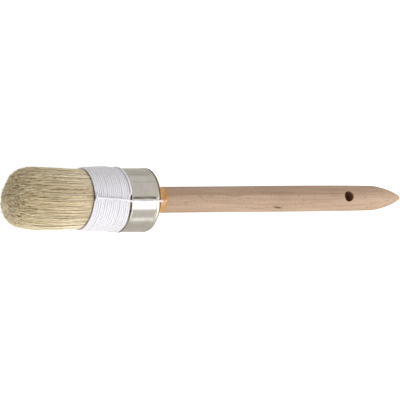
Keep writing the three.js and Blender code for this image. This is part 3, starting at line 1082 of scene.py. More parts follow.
@dataclass
class BindingCord:
    """The white cord: 17 turns on the bristles, a strand back over them and a hook in the resin.

    Angles are in degrees from straight up. Where the strand goes is drawn in pairs, a step along the
    brush and one outwards: from the ferrule's front edge, from its rim, and for the hook from both
    the rim and the ferrule's outside. A drift's pair is its size and its waves to the radian.
    """

    layout: Layout
    finish: CordFinish
    radius: float = 0.71
    turn_count: int = 17
    stand: float = 0.4
    draw_in: float = 0.75
    first_gap: float = 1.15
    second_gap: float = 2.6
    step_angle: float = 9.0
    start_angle: float = 195.0
    ride_up: float = 0.7
    ride_angles: Point = (-13.0, -2.0)
    sunk: float = 2.0
    sunk_turn: float = 0.5
    drifts: tuple[Point, ...] = ((0.03, 0.31), (0.02, 1.7), (0.04, 0.43), (0.03, 2.3))
    front_angle: float = 7.6
    rear_angle: float = 10.6
    leave_angle: float = 13.0
    leave_forward: float = 0.3
    bend: float = 1.4
    rise_from: float = 0.2
    rise_steps: int = 16
    bend_steps: int = 8
    lift: float = 0.1
    strand_lead: float = 4.0
    strand_middle: float = 16.8
    strand_rear: float = 1.0
    over_front: tuple[Point, ...] = ((0.45, 0.3), (2.5, 0.0))
    over_rim: tuple[Point, ...] = ((-5.0, 0.0), (-2.2, 0.3), (-0.9, 0.3))
    off_rim: Point = (0.3, 0.1)
    off_rim_share: float = 0.85
    hook: tuple[Point, ...] = ((1.2, -0.2), (1.6, -1.2), (1.5, -2.3), (0.8, -3.6), (-0.4, -4.6))
    hook_curl: float = 3.0
    curl_depths: Point = (-0.2, 2.6)
    step: float = 0.5
    ply_count: int = 3
    ply_depth: float = 0.09
    twist_pitch: float = 3.2
    sides: int = 10
    loose_size: float = 1.18
    loose_fade: float = 4.0
    seed: int = 11

    def surface(self, x: float) -> float:
        """Outside radius of the wound turns at a place along the brush.

        Args:
            x: The place.

        Returns:
            The radius in millimetres.
        """
        lay = self.layout
        share = min(max((x - lay.mouth_x) / (lay.binding_rear_x - lay.mouth_x), 0.0), 1.0)
        return lay.ferrule_radius + self.stand - self.draw_in * (1 - share) ** 2

    def turns(self, end: float) -> list[Vector]:
        """The wound turns, from the ferrule forwards.

        Each turn lies square to the brush and steps forward to the next where the strand covers it.
        The first half turn, on the +Y side, rides up against the ferrule and comes down just before
        the strand.

        Args:
            end: Last angle in radians.

        Returns:
            Points along the middle of the cord.
        """
        lay = self.layout
        start = math.radians(self.front_angle - self.start_angle)
        count = int((end - start) * lay.ferrule_radius / self.step)
        phases = np.random.default_rng(self.seed).uniform(0, math.tau, len(self.drifts))
        second_x = lay.ferrule_front_x - self.second_gap
        pitch = (second_x - (lay.mouth_x + self.radius)) / (self.turn_count - 1)
        window = self.step_angle / 360
        ride_start, ride_end = (angle / 360 for angle in self.ride_angles)
        points = []
        for i in range(count + 1):
            angle = start + (end - start) * i / count
            around = (angle - math.radians(self.front_angle)) / math.tau
            whole = math.floor(around + 0.5)
            passed = max(whole + ease(around - whole, -window, window) - 1, 0.0)
            first = ease(around, ride_start, ride_end)
            drift = [size * math.sin(angle * rate + phase)
                     for (size, rate), phase in zip(self.drifts, phases)]
            x = lay.ferrule_front_x - self.first_gap - (self.second_gap - self.first_gap) * first
            x -= pitch * passed
            x -= lay.slant(angle) * passed / (self.turn_count - 1)
            x += drift[0] + drift[1]
            radius = self.surface(x) - self.radius + drift[2]
            radius += drift[3] + self.ride_up * (1 - first)
            radius -= self.sunk * (1 - ease(angle, start, start + self.sunk_turn))
            points.append(lay.around(x, radius, angle))
        return points

    def bend_back(self, start: float, end: float, front_x: float) -> list[Vector]:
        """The cord leaves the front turn, bends backwards and rises onto the turns.

        Args:
            start: Angle where the front turn ends, in radians.
            end: The strand's angle there.
            front_x: Place of the front turn along the brush.

        Returns:
            Points along the middle of the cord.
        """
        low = self.surface(front_x) - self.radius
        high = self.surface(front_x) + self.radius + self.lift
        bend = self.radius * self.bend
        swing = bend / high
        points = []
        for i in range(1, self.rise_steps + 1):
            share = i / self.rise_steps
            risen = ease(share, self.rise_from, 1.0)
            points.append(self.layout.around(front_x - self.leave_forward * risen,
                                             low + (high - low) * risen,
                                             start + (end - swing - start) * share))
        for i in range(1, self.bend_steps + 1):
            turn = i / self.bend_steps * math.pi / 2
            x = front_x - self.leave_forward + bend * (1 - math.cos(turn))
            points.append(self.layout.around(x, self.surface(x) + self.radius + self.lift,
                                             end - swing * (1 - math.sin(turn))))
        return points

    def strand(self, start_x: float) -> list[Vector]:
        """The strand over the turns and the ferrule, over its rim and down into the resin.

        Args:
            start_x: Where it starts along the brush.

        Returns:
            Points along the middle of the cord.
        """
        lay = self.layout
        front, rear = math.radians(self.front_angle), math.radians(self.rear_angle)
        up, body, rim = self.radius + self.lift, lay.ferrule_radius, lay.ferrule_rear_x
        lead_x, middle_x = start_x + self.strand_lead, lay.mouth_x + self.strand_middle
        stations = [(lead_x, self.surface(lead_x) + up), (middle_x, self.surface(middle_x) + up),
                    (lay.binding_rear_x - self.strand_rear, self.surface(lay.binding_rear_x) + up)]
        stations += [(lay.ferrule_front_x + x, body + out + up) for x, out in self.over_front]
        stations += [(rim + x, body + out + up) for x, out in self.over_rim]
        stations.append((rim + self.off_rim[0], body + self.off_rim[1] + up * self.off_rim_share))
        stations += [(rim + x, body + out) for x, out in self.hook]
        line = []
        for x, radius in stations:
            share = ease(x, start_x, lay.ferrule_front_x)
            curl = math.radians(self.hook_curl) * ease(body - radius, *self.curl_depths)
            line.append(lay.around(x, radius, front + (rear - front) * share + curl,
                                   x < lay.ferrule_front_x))
        return line

    def path(self) -> tuple[list[Vector], int]:
        """The whole cord's middle line in even steps.

        Returns:
            The points, and how many of them are wound turns.
        """
        end = math.tau * self.turn_count + math.radians(self.front_angle)
        leave = end - math.radians(self.leave_angle)
        wound = self.turns(leave)
        bent = self.bend_back(leave, end, wound[-1].x)
        loose = bent[-1:] + self.strand(bent[-1].x)
        return wound + bent + smooth_line(loose, self.step)[1:], len(wound)

    def tree(self) -> bpy.types.NodeTree:
        """Geometry Nodes that sweep a twisted three-ply section along a line.

        Returns:
            The tree.
        """
        names = ("Radius", "Plies", "Ply Depth", "Twist Pitch", "Loose From", "Loose Size", "Loose Fade")
        tree, given = start_tree("twisted_cord", [(n, "Float") for n in names] + [("Sides", "Int")])
        node = partial(add, tree)
        length = node("GeometryNodeSplineParameter").outputs["Length"]
        turns = node("ShaderNodeMath", length, given["Twist Pitch"], operation="DIVIDE")
        angle = node("ShaderNodeMath", turns, math.tau, operation="MULTIPLY")
        line = node("GeometryNodeSetCurveTilt", {"Curve": given["Geometry"], "Tilt": angle})
        circle = node("GeometryNodeCurvePrimitiveCircle", {"Resolution": given["Sides"],
                                                           "Radius": given["Radius"]})
        # The circle becomes plies: its radius dips between them, and the dips are remembered.
        spot = node("GeometryNodeSplineParameter").outputs["Factor"]
        turn = node("ShaderNodeMath", spot, math.tau, operation="MULTIPLY")
        lobes = node("ShaderNodeMath", turn, given["Plies"], operation="MULTIPLY")
        wave = node("ShaderNodeMath", lobes, operation="COSINE")
        dip = node("ShaderNodeMapRange", wave, -1.0, 1.0)
        less = node("ShaderNodeMath", dip, given["Ply Depth"], operation="MULTIPLY")
        keep = node("ShaderNodeMath", 1.0, less, operation="SUBTRACT")
        where = node("GeometryNodeInputPosition")
        pulled = node("ShaderNodeVectorMath", {0: where, "Scale": keep}, operation="SCALE")
        noted = node("GeometryNodeStoreNamedAttribute",
                     {"Geometry": circle, "Name": "groove", "Value": dip}, data_type="FLOAT")
        section = node("GeometryNodeSetPosition", {"Geometry": noted, "Position": pulled})
        # Off the winding nothing squeezes the cord, so it is a little thicker there.
        loose_by = node("ShaderNodeMath", given["Loose From"], given["Loose Fade"], operation="ADD")
        size = node("ShaderNodeMapRange", length, given["Loose From"], loose_by, 1.0,
                    given["Loose Size"])
        end_tree(tree, line, section, size, self.finish.material(self.layout))
        return tree

    def make(self) -> Any:
        """Build, dress and place the cord.

        Returns:
            The cord.
        """
        points, wound = self.path()
        loose_from = sum((b - a).length for a, b in zip(points[:wound], points[1:wound]))
        curve = bpy.data.curves.new("cord_line", "CURVE")
        curve.dimensions = "3D"
        spline = curve.splines.new("POLY")
        spline.points.add(len(points) - 1)
        for spot, point in zip(spline.points, points):
            spot.co = (*(point * MM), 1.0)
        cord = grow("binding_cord_twisted", place_object("cord_line", curve), self.tree(), {
            "Radius": self.radius * MM, "Plies": float(self.ply_count), "Ply Depth": self.ply_depth,
            "Twist Pitch": self.twist_pitch * MM, "Sides": self.sides, "Loose From": loose_from * MM,
            "Loose Size": self.loose_size, "Loose Fade": self.loose_fade * MM,
        })
        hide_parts("binding_cord")
        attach(cord, BRUSH_BODY)
        return cord


class Zone(Enum):
    """Which bristles a bundle holds: the long ones that show, or the tips in its middle."""

    SHELL = "shell"
    CORE = "core"


@dataclass
class Bristles:
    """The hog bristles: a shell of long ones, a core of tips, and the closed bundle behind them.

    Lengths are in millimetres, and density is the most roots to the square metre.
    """

    layout: Layout
    finish: BristleFinish
    heart_finish: PackedBristleFinish
    mouth_radius: float = 18.4
    bulge_radius: float = 19.2
    bulge_distance: float = 24.0
    dome_length: float = 24.5
    face_power: float = 3.2
    edge_power: float = 3.5
    nose: float = 1.2
    nose_share: float = 0.65
    face_tilt: float = 0.2
    tip_room: float = 0.4
    converge: float = 0.52
    trim: float = 2.3
    tuft_trim: float = 1.2
    strand_size: float = 1.2
    strand_pull: float = 0.45
    tuft_size: float = 1.8
    tuft_pull: float = 0.5
    curl: float = 0.95
    late_power: float = 2.5
    early_share: float = 0.3
    crowding: float = 1.8
    sway: float = 0.05
    sway_length: float = 21.0
    own_tone: float = 0.4
    strand_tone: float = 0.3
    thickness: float = 0.44
    taper_from: float = 0.6
    tip_thickness: float = 0.65
    spacing: float = 0.35
    density: float = 4.0e7
    shell_share: float = 0.86
    shell_length: float = 80.0
    shell_segments: int = 13
    core_depth: float = 15.0
    core_segments: int = 7
    middle_hole: float = 0.001
    section_steps: int = 96
    root_depth: float = 2.0
    flex_reach: float = 34.0
    heart_inset: float = 4.5
    heart_flatness: float = 0.85
    heart_bulge: float = 0.9
    heart_mouth: float = 0.94
    heart_gap: float = 0.1
    heart_rings: int = 24
    heart_steps: int = 64
    seed: int = 5

    def plant(self, tree: bpy.types.NodeTree, given: Any) -> Any:
        """Stand a straight line for each bristle on the flat section.

        Args:
            tree: The bristle tree.
            given: Its inputs.

        Returns:
            The node whose output is the lines, which carry what each bristle keeps: its root, its
            shade, its own curl, how short it is cut, and its strand's and its tuft's random values.
        """
        node = partial(add, tree)
        noted = node("GeometryNodeDistributePointsOnFaces",
                     {"Mesh": given["Geometry"], "Distance Min": given["Spacing"],
                      "Density Max": self.density, "Seed": given["Seed"]}, distribute_method="POISSON")
        root = node("GeometryNodeInputPosition")
        shade = node("FunctionNodeRandomValue", {"Seed": 21}, data_type="FLOAT")
        curl = node("FunctionNodeRandomValue", {0: (0.0, -1.0, -1.0), 1: (0.0, 1.0, 1.0), "Seed": 22},
                    data_type="FLOAT_VECTOR")
        cut = node("FunctionNodeRandomValue", {"Seed": 23}, data_type="FLOAT")
        kept = [("root", root, "FLOAT_VECTOR"), ("curl", curl, "FLOAT_VECTOR"),
                ("cut", cut.outputs[1], "FLOAT")]
        luck = {}
        for name in ("Strand", "Tuft"):
            size = given[f"{name} Size"]
            share = node("ShaderNodeMath", 1.0, size, operation="DIVIDE")
            cell = node("ShaderNodeVectorMath", {0: root, "Scale": share}, operation="SCALE")
            group = node("ShaderNodeTexVoronoi", {"Vector": cell, "Scale": 1.0}).outputs
            middle = node("ShaderNodeVectorMath", {0: group["Position"], "Scale": size},
                          operation="SCALE")
            pull = node("ShaderNodeVectorMath", middle, root, operation="SUBTRACT")
            flat = node("ShaderNodeVectorMath", pull, (0.0, 1.0, 1.0), operation="MULTIPLY")
            luck[name] = group["Color"]
            kept += [(f"{name.lower()}_pull", flat, "FLOAT_VECTOR"),
                     (f"{name.lower()}_luck", luck[name], "FLOAT_VECTOR")]
        own = node("ShaderNodeMath", shade.outputs[1], self.own_tone, operation="MULTIPLY")
        shared = node("ShaderNodeSeparateXYZ", luck["Strand"]).outputs["Z"]
        kept.append(("tone", node("ShaderNodeMath", shared, self.strand_tone, own,
                                  operation="MULTIPLY_ADD"), "FLOAT"))
        for name, value, kind in kept:
            noted = node("GeometryNodeStoreNamedAttribute",
                         {"Geometry": noted, "Name": name, "Value": value}, data_type=kind)
        line = node("GeometryNodeCurvePrimitiveLine", {"End": (MM, 0.0, 0.0)})
        stepped = node("GeometryNodeResampleCurve", {"Curve": line, "Count": given["Segments"]})
        copies = node("GeometryNodeInstanceOnPoints", {"Points": noted, "Instance": stepped})
        return node("GeometryNodeRealizeInstances", copies)

    def tip_place(self, tree: bpy.types.NodeTree, given: Any, kept: dict[str, Any]) -> Any:
        """Say where along the brush each bristle ends.

        The tips make a dome: flat in the middle, round at the edge, a little tilted, with each tuft
        and each bristle cut a bit differently.

        Args:
            tree: The bristle tree.
            given: Its inputs.
            kept: What each bristle keeps, by name.

        Returns:
            The node whose first output is the place.
        """
        node = partial(add, tree)
        out = node("ShaderNodeVectorMath", kept["root"], operation="LENGTH").outputs["Value"]
        share = node("ShaderNodeMath", out, given["Mouth Radius"], operation="DIVIDE", use_clamp=True)
        # The bristles bend inwards, so one that starts at this share of the radius ends nearer in.
        kept_out = node("ShaderNodeMath", 1.0, given["Converge"], operation="SUBTRACT")
        nearer = node("ShaderNodeMath", share, kept_out, operation="MULTIPLY")
        bent = node("ShaderNodeMath", share, given["Converge"], operation="MULTIPLY")
        bent = node("ShaderNodeMath", 1.0, bent, operation="SUBTRACT")
        share = node("ShaderNodeMath", nearer, bent, operation="DIVIDE", use_clamp=True)
        face = node("ShaderNodeMath", share, given["Face Power"], operation="POWER")
        face = node("ShaderNodeMath", 1.0, face, operation="SUBTRACT", use_clamp=True)
        inverse = node("ShaderNodeMath", 1.0, given["Edge Power"], operation="DIVIDE")
        face = node("ShaderNodeMath", face, inverse, operation="POWER")
        face = node("ShaderNodeMath", 1.0, face, operation="SUBTRACT")
        dome = node("ShaderNodeMath", face, given["Dome Length"], given["Tips X"],
                    operation="MULTIPLY_ADD")
        nose = node("ShaderNodeMapRange", share, 0.0, self.nose_share, 0.0, given["Nose"],
                    interpolation_type="SMOOTHSTEP")
        place = node("ShaderNodeMath", dome, nose, operation="ADD")
        side = node("ShaderNodeSeparateXYZ", kept["root"]).outputs["Y"]
        tuft = node("ShaderNodeSeparateXYZ", kept["tuft_luck"]).outputs["X"]
        short = node("ShaderNodeMath", kept["cut"], 2.0, operation="POWER")
        for amount, size in ((side, "Face Tilt"), (tuft, "Tuft Trim"), (short, "Trim")):
            place = node("ShaderNodeMath", amount, given[size], place, operation="MULTIPLY_ADD")
        return place

    def spread(self, tree: bpy.types.NodeTree, given: Any, kept: dict[str, Any], x: Any) -> Any:
        """Say where across the brush a bristle is at a place along it.

        The bundle swells ahead of the cord and leans, strands and tufts draw together, strands sway
        from side to side, and near its tip each bristle curls its own way.

        Args:
            tree: The bristle tree.
            given: Its inputs.
            kept: What each bristle keeps, by name.
            x: The node whose first output is the place along the brush.

        Returns:
            The spread's node, and the node of the share of the free length, 0 to 1.
        """
        node = partial(add, tree)
        swell = node("ShaderNodeMapRange", x, given["Mouth X"], given["Bulge X"], 1.0,
                     given["Bulge Ratio"], interpolation_type="SMOOTHSTEP")
        free = node("ShaderNodeMapRange", x, given["Mouth X"], given["Tips X"])
        late = node("ShaderNodeMath", free, self.late_power, operation="POWER")
        # The dome's own radius at this place says how far the bristles have bent inwards.
        dome_end = node("ShaderNodeMath", given["Tips X"], given["Dome Length"], operation="ADD")
        ahead = node("ShaderNodeMapRange", x, given["Tips X"], dome_end, 1.0, 0.0)
        ahead = node("ShaderNodeMath", ahead, given["Edge Power"], operation="POWER")
        ahead = node("ShaderNodeMath", 1.0, ahead, operation="SUBTRACT", use_clamp=True)
        inverse = node("ShaderNodeMath", 1.0, given["Face Power"], operation="DIVIDE")
        width = node("ShaderNodeMath", ahead, inverse, operation="POWER")
        least = node("ShaderNodeMath", 1.0, given["Converge"], operation="SUBTRACT")
        shrink = node("ShaderNodeMapRange", width, 0.0, 1.0, least)
        swell = node("ShaderNodeMath", swell, shrink, operation="MULTIPLY")
        early = node("ShaderNodeMapRange", free, 0.0, self.early_share, interpolation_type="SMOOTHSTEP")
        luck = node("ShaderNodeVectorMath", kept["strand_luck"], (0.5, 0.5, 0.5), operation="SUBTRACT")
        phase = node("ShaderNodeSeparateXYZ", luck).outputs["X"]
        waves = node("ShaderNodeMath", phase, math.tau, operation="MULTIPLY")
        waves = node("ShaderNodeMath", x, math.tau / (self.sway_length * MM), waves,
                     operation="MULTIPLY_ADD")
        wave = node("ShaderNodeMath", waves, operation="SINE")
        aside = node("ShaderNodeVectorMath", luck, (0.0, 2.0, 2.0), operation="MULTIPLY")
        spot = node("ShaderNodeVectorMath", {0: kept["root"], "Scale": swell}, operation="SCALE")
        for vector, size, growth in (
            (kept["strand_pull"], given["Strand Pull"], early), (kept["tuft_pull"], given["Tuft Pull"], late),
            (kept["curl"], given["Curl"], late), (given["Tip Lean"], 1.0, late),
        ):
            amount = node("ShaderNodeMath", growth, size, operation="MULTIPLY")
            moved = node("ShaderNodeVectorMath", {0: vector, "Scale": amount}, operation="SCALE")
            spot = node("ShaderNodeVectorMath", spot, moved, operation="ADD")
        reach = node("ShaderNodeMath", wave, given["Sway"], operation="MULTIPLY")
        reach = node("ShaderNodeMath", reach, early, operation="MULTIPLY")
        swayed = node("ShaderNodeVectorMath", {0: aside, "Scale": reach}, operation="SCALE")
        for shift in (swayed, given["Lean"], given["Middle"]):
            spot = node("ShaderNodeVectorMath", spot, shift, operation="ADD")
        return spot, free

    def tree(self, material: bpy.types.Material) -> bpy.types.NodeTree:
        """Geometry Nodes that grow bristles from a flat section of the bundle.

        Args:
            material: The bristles' finish.

        Returns:
            The tree.
        """
        floats = ("Spacing", "Thickness", "Mouth Radius", "Bulge Ratio", "Mouth X", "Bulge X", "Tips X",
                  "Root X", "Shown Length", "Dome Length", "Face Power", "Edge Power", "Nose",
                  "Face Tilt", "Converge", "Trim", "Tuft Trim", "Strand Size", "Strand Pull", "Tuft Size",
                  "Tuft Pull", "Curl", "Sway")
        tree, given = start_tree("bristle_bundle", [
            *((name, "Float") for name in floats), *((name, "Int") for name in ("Seed", "Segments")),
            *((name, "Vector") for name in ("Lean", "Tip Lean", "Middle"))])
        node = partial(add, tree)
        real = self.plant(tree, given)
        kept = {name: node("GeometryNodeInputNamedAttribute", {"Name": name},
                           data_type="FLOAT" if name == "cut" else "FLOAT_VECTOR")
                for name in ("root", "curl", "cut", "strand_pull", "strand_luck", "tuft_pull",
                             "tuft_luck")}
        # Points crowd towards the tip, where a bristle bends most.
        even = node("GeometryNodeSplineParameter").outputs["Factor"]
        left = node("ShaderNodeMath", 1.0, even, operation="SUBTRACT")
        left = node("ShaderNodeMath", left, self.crowding, operation="POWER")
        along = node("ShaderNodeMath", 1.0, left, operation="SUBTRACT")
        tip_x = self.tip_place(tree, given, kept)
        behind = node("ShaderNodeMath", tip_x, given["Shown Length"], operation="ADD")
        root_x = node("ShaderNodeMath", behind, given["Root X"], operation="MINIMUM")
        x = node("ShaderNodeMapRange", along, 0.0, 1.0, root_x, tip_x)
        spot, free = self.spread(tree, given, kept, x)
        place = node("ShaderNodeVectorMath", spot, node("ShaderNodeCombineXYZ", x), operation="ADD")
        moved = node("GeometryNodeSetPosition", {"Geometry": real, "Position": place})
        taper = node("ShaderNodeMapRange", along, self.taper_from, 1.0, 1.0, self.tip_thickness)
        marked = node("GeometryNodeStoreNamedAttribute",
                      {"Geometry": moved, "Name": "along", "Value": free}, data_type="FLOAT")
        section = node("GeometryNodeCurvePrimitiveCircle", {"Resolution": 3,
                                                            "Radius": given["Thickness"]})
        end_tree(tree, marked, section, taper, material)
        return tree

    def section(self, zone: Zone) -> Any:
        """A flat ring or disc across the bundle, for one zone's bristles to grow from.

        Args:
            zone: Which bristles.

        Returns:
            The section, round the origin.
        """
        inner = self.shell_share if zone is Zone.SHELL else 0.0
        outer = 1.0 if zone is Zone.SHELL else self.shell_share
        steps = self.section_steps
        points = []
        for share in (inner, outer):
            radius = max(share, self.middle_hole) * self.mouth_radius
            points += [(0.0, radius * math.cos(math.tau * i / steps),
                        radius * math.sin(math.tau * i / steps)) for i in range(steps)]
        faces = [(i, (i + 1) % steps, steps + (i + 1) % steps, steps + i) for i in range(steps)]
        return place_mesh(f"{zone.value}_section", points, faces)

    def grow_zone(self, zone: Zone, tree: bpy.types.NodeTree) -> Any:
        """Grow one zone's bristles.

        Args:
            zone: Which bristles.
            tree: The bristle tree.

        Returns:
            The bristles as one mesh object.
        """
        lay, side, shell = self.layout, self.layout.sideways, zone is Zone.SHELL
        lengths = {
            "Spacing": self.spacing, "Thickness": self.thickness / 2, "Mouth Radius": self.mouth_radius,
            "Mouth X": lay.mouth_x, "Bulge X": lay.mouth_x - self.bulge_distance,
            "Tips X": lay.tips_x - self.tip_room,
            "Root X": lay.mouth_x + (self.root_depth if shell else 0.0),
            "Shown Length": self.shell_length if shell else self.core_depth,
            "Dome Length": self.dome_length, "Nose": self.nose, "Trim": self.trim,
            "Tuft Trim": self.tuft_trim, "Strand Size": self.strand_size, "Tuft Size": self.tuft_size,
            "Curl": self.curl, "Sway": self.sway, "Lean": side * lay.lean_at_mouth,
            "Tip Lean": side * (lay.lean_at_tips - lay.lean_at_mouth),
            "Middle": Vector((0.0, 0.0, lay.axis_z)),
        }
        return grow(f"bristle_{zone.value}", self.section(zone), tree, {
            **{name: length * MM for name, length in lengths.items()},
            "Bulge Ratio": self.bulge_radius / self.mouth_radius, "Face Power": self.face_power,
            "Edge Power": self.edge_power, "Face Tilt": self.face_tilt, "Converge": self.converge,
            "Strand Pull": self.strand_pull, "Tuft Pull": self.tuft_pull, "Seed": self.seed,
            "Segments": self.shell_segments if shell else self.core_segments,
        })

    def heart(self) -> Any:
        """The closed bundle behind the bristles that show, in rings close enough to bend with them.

        Returns:
            The bare heart.
        """
        lay, rings = self.layout, self.heart_rings
        profile: list[Point] = []
        for i in range(rings + 1):
            share = math.sin(i / rings * math.pi / 2)
            back = self.dome_length * (1 - (1 - share ** self.face_power) ** (1 / self.edge_power))
            profile.append((lay.tips_x + self.heart_inset + back * self.heart_flatness,
                            share * self.bulge_radius * self.heart_bulge))
        barrel_x, barrel_radius = profile[-1]
        mouth_radius = self.mouth_radius * self.heart_mouth
        # It ends just inside the bound bundle's front.
        rear = lay.mouth_x + self.root_depth - self.heart_gap
        for i in range(1, rings + 1):
            share = i / rings
            profile.append((barrel_x + (lay.mouth_x - barrel_x) * share,
                            barrel_radius + (mouth_radius - barrel_radius) * share))
        profile += [(rear, mouth_radius), (rear, 0.0)]
        return lay.revolve("bristle_heart", profile, self.heart_steps, leaning=True)

    def make(self) -> list[Any]:
        """Grow, dress and place every bristle piece.

        Returns:
            The shell, the core and the heart.
        """
        lay = self.layout
        tree = self.tree(self.finish.material(lay))
        heart = self.heart()
        heart.data.materials.append(self.heart_finish.material())
        pieces = [self.grow_zone(zone, tree) for zone in Zone] + [heart]
        for piece in pieces:
            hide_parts("free_bristles")
            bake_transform(piece)
        return pieces


@dataclass
class BoundBristles:
    """The packed bristles under the cord, which show only in the gap in front of the ferrule.

    A pair is a step along the brush and a radius there: from the bundle's front for front_radii,
    from the ferrule's front edge for gap_radii and from the tenon's tip for tenon_radii.
    """

    layout: Layout
    finish: PackedBristleFinish
    front_depth: float = 2.0
    front_radii: tuple[Point, ...] = ((0.0, 17.6), (4.0, 18.2))
    gap_radii: tuple[Point, ...] = ((-8.0, 18.8), (-2.6, 19.0), (-1.6, 19.1), (-0.6, 19.15), (0.6, 19.4))
    rear_radius: float = 19.4
    rear_inset: float = 4.1
    bore_room: float = 0.3
    bore_radius: float = 8.0
    tenon_radii: tuple[Point, ...] = ((1.6, 5.6), (0.0, 3.9))
    steps: int = 128

    def profile(self) -> list[Point]:
        """The bundle's section, with the bore that the tenon was driven into.

        Returns:
            Places along X and radii.
        """
        lay, room = self.layout, self.bore_room
        front, rear = lay.mouth_x + self.front_depth, lay.ferrule_rear_x - self.rear_inset
        (taper, taper_radius), (_, tip_radius) = self.tenon_radii
        points = [(front, 0.0)]
        points += [(front + x, radius) for x, radius in self.front_radii]
        points += [(lay.ferrule_front_x + x, radius) for x, radius in self.gap_radii]
        points += [(rear, self.rear_radius), (rear, self.bore_radius + room),
                   (lay.tenon_tip_x + taper, taper_radius + room), (lay.tenon_tip_x - room, tip_radius),
                   (lay.tenon_tip_x - room, 0.0)]
        return points

    def make(self) -> Any:
        """Build, dress and place the bundle.

        Returns:
            The bundle.
        """
        bundle = self.layout.revolve("bound_bundle", self.profile(), self.steps, leaning=True)
        bundle.data.materials.append(self.finish.material())
        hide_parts("bound_bristles")
        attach(bundle, BRUSH_BODY)
        return bundle


@dataclass
class ResinCollar:
    """The amber resin: level in the ferrule, with an uneven lip, and climbing the handle.

    The lip's pairs are steps behind the ferrule's rim and out from its opening, and the feather's are
    steps behind the climb's end and radii off the neck. A ripple is its waves round the handle, its
    phase in radians and its size.
    """

    layout: Layout
    finish: ResinFinish
    neck_radius: float = 8.2
    neck_gap: float = 0.02
    bore_inset: float = 1.8
    depth: float = 4.0
    lip: tuple[Point, ...] = ((-0.1, 0.0), (0.03, 0.3), (0.03, 0.9), (0.02, 1.4), (-0.1, 1.65),
                              (0.15, 1.85), (0.45, 1.75), (0.65, 1.35))
    start: Point = (0.6, 0.7)
    corner: Point = (0.28, 1.4)
    edge: float = 0.1
    feather: tuple[Point, ...] = ((0.35, 0.05), (0.5, 0.01))
    climb_steps: int = 24
    wander: float = 0.09
    ripples: tuple[Triple, ...] = ((2, 2.4, 1.0), (5, 0.6, 0.33))
    lip_from: float = 0.3
    lip_angle: float = 0.7
    lip_sides: Point = (-0.3, 0.8)
    lip_least: float = 0.1
    steps: int = 128

    @property
    def bore(self) -> float:
        """Radius of the opening in the ferrule's rear shoulder."""
        return self.layout.ferrule_radius - self.bore_inset

    def profile(self) -> list[Point]:
        """The collar's section, closed on itself.

        Returns:
            Places along X and radii.
        """
        lay, rim, neck = self.layout, self.layout.ferrule_rear_x, self.neck_radius
        start = (rim + self.start[0], self.bore + self.start[1])
        corner = (rim + lay.resin_climb * self.corner[0], neck + self.corner[1])
        end = (rim + lay.resin_climb, neck + self.edge)
        # It was poured a little too full, so a lip of it lies over the ferrule's rear shoulder.
        points = [(rim - self.depth, neck + self.neck_gap), (rim - self.depth, self.bore)]
        points += [(rim + x, self.bore + out) for x, out in self.lip]
        for i in range(self.climb_steps + 1):
            t = i / self.climb_steps
            points.append(tuple((1 - t) ** 2 * a + 2 * t * (1 - t) * b + t * t * c
                                for a, b, c in zip(start, corner, end)))
        points += [(end[0] + x, neck + out) for x, out in self.feather]
        return points + [points[0]]

    def settle(self, collar: Any) -> None:
        """Let the resin run unevenly up the handle, and over the ferrule's shoulder on one side only.

        Args:
            collar: The evenly turned collar.
        """
        lay = self.layout
        shoulder = self.bore + self.lip_from
        for vertex in collar.data.vertices:
            place = vertex.co / MM - Vector((lay.ferrule_rear_x, 0.0, lay.axis_z))
            angle, radius = math.atan2(-place.y, place.z), math.hypot(place.y, place.z)
            if place.x > 0:
                ripple = sum(size * math.sin(waves * angle + phase) for waves, phase, size in self.ripples)
                vertex.co.x += place.x * self.wander * ripple * MM
            if radius > shoulder:
                facing = ease(math.cos(angle + self.lip_angle), *self.lip_sides)
                lip = self.lip_least + (1 - self.lip_least) * facing
                kept = (shoulder + (radius - shoulder) * lip) / radius
                vertex.co.y = place.y * kept * MM
                vertex.co.z = (lay.axis_z + place.z * kept) * MM

    def make(self) -> Any:
        """Build, dress and place the collar.

        Returns:
            The collar.
        """
        collar = self.layout.revolve("resin_fillet", self.profile(), self.steps)
        self.settle(collar)
        collar.data.materials.append(self.finish.material(self.layout))
        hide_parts("resin_collar")
        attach(collar, BRUSH_BODY)
        return collar


# ---------------------------------------------------------------- the studio


@dataclass(frozen=True)
class Softbox:
    """A soft lamp that faces the brush, with its sizes in metres."""

    name: str
    direction: Triple
    distance: float
    width: float
    height: float
    radiance: float
    colour: str = "#ffffff"

    def make(self, target: Vector) -> Any:
        """Hang the lamp.

        Args:
            target: What it faces, in metres.

        Returns:
            The lamp object.
        """
        data = bpy.data.lights.new(self.name, "AREA")
        data.shape = "RECTANGLE"
        data.size, data.size_y = self.width, self.height
        data.energy = self.radiance * math.pi * self.width * self.height
        data.color = linear(self.colour)[:3]
        lamp = place_object(self.name, data)
        back = Vector(self.direction).normalized()
        lamp.location = target + back * self.distance
        across = Vector((1.0, 0.0, 0.0))
        up = back.cross(across).normalized()
        across = up.cross(back)
        lamp.rotation_euler = Matrix((across, up, back)).transposed().to_euler()
        return lamp


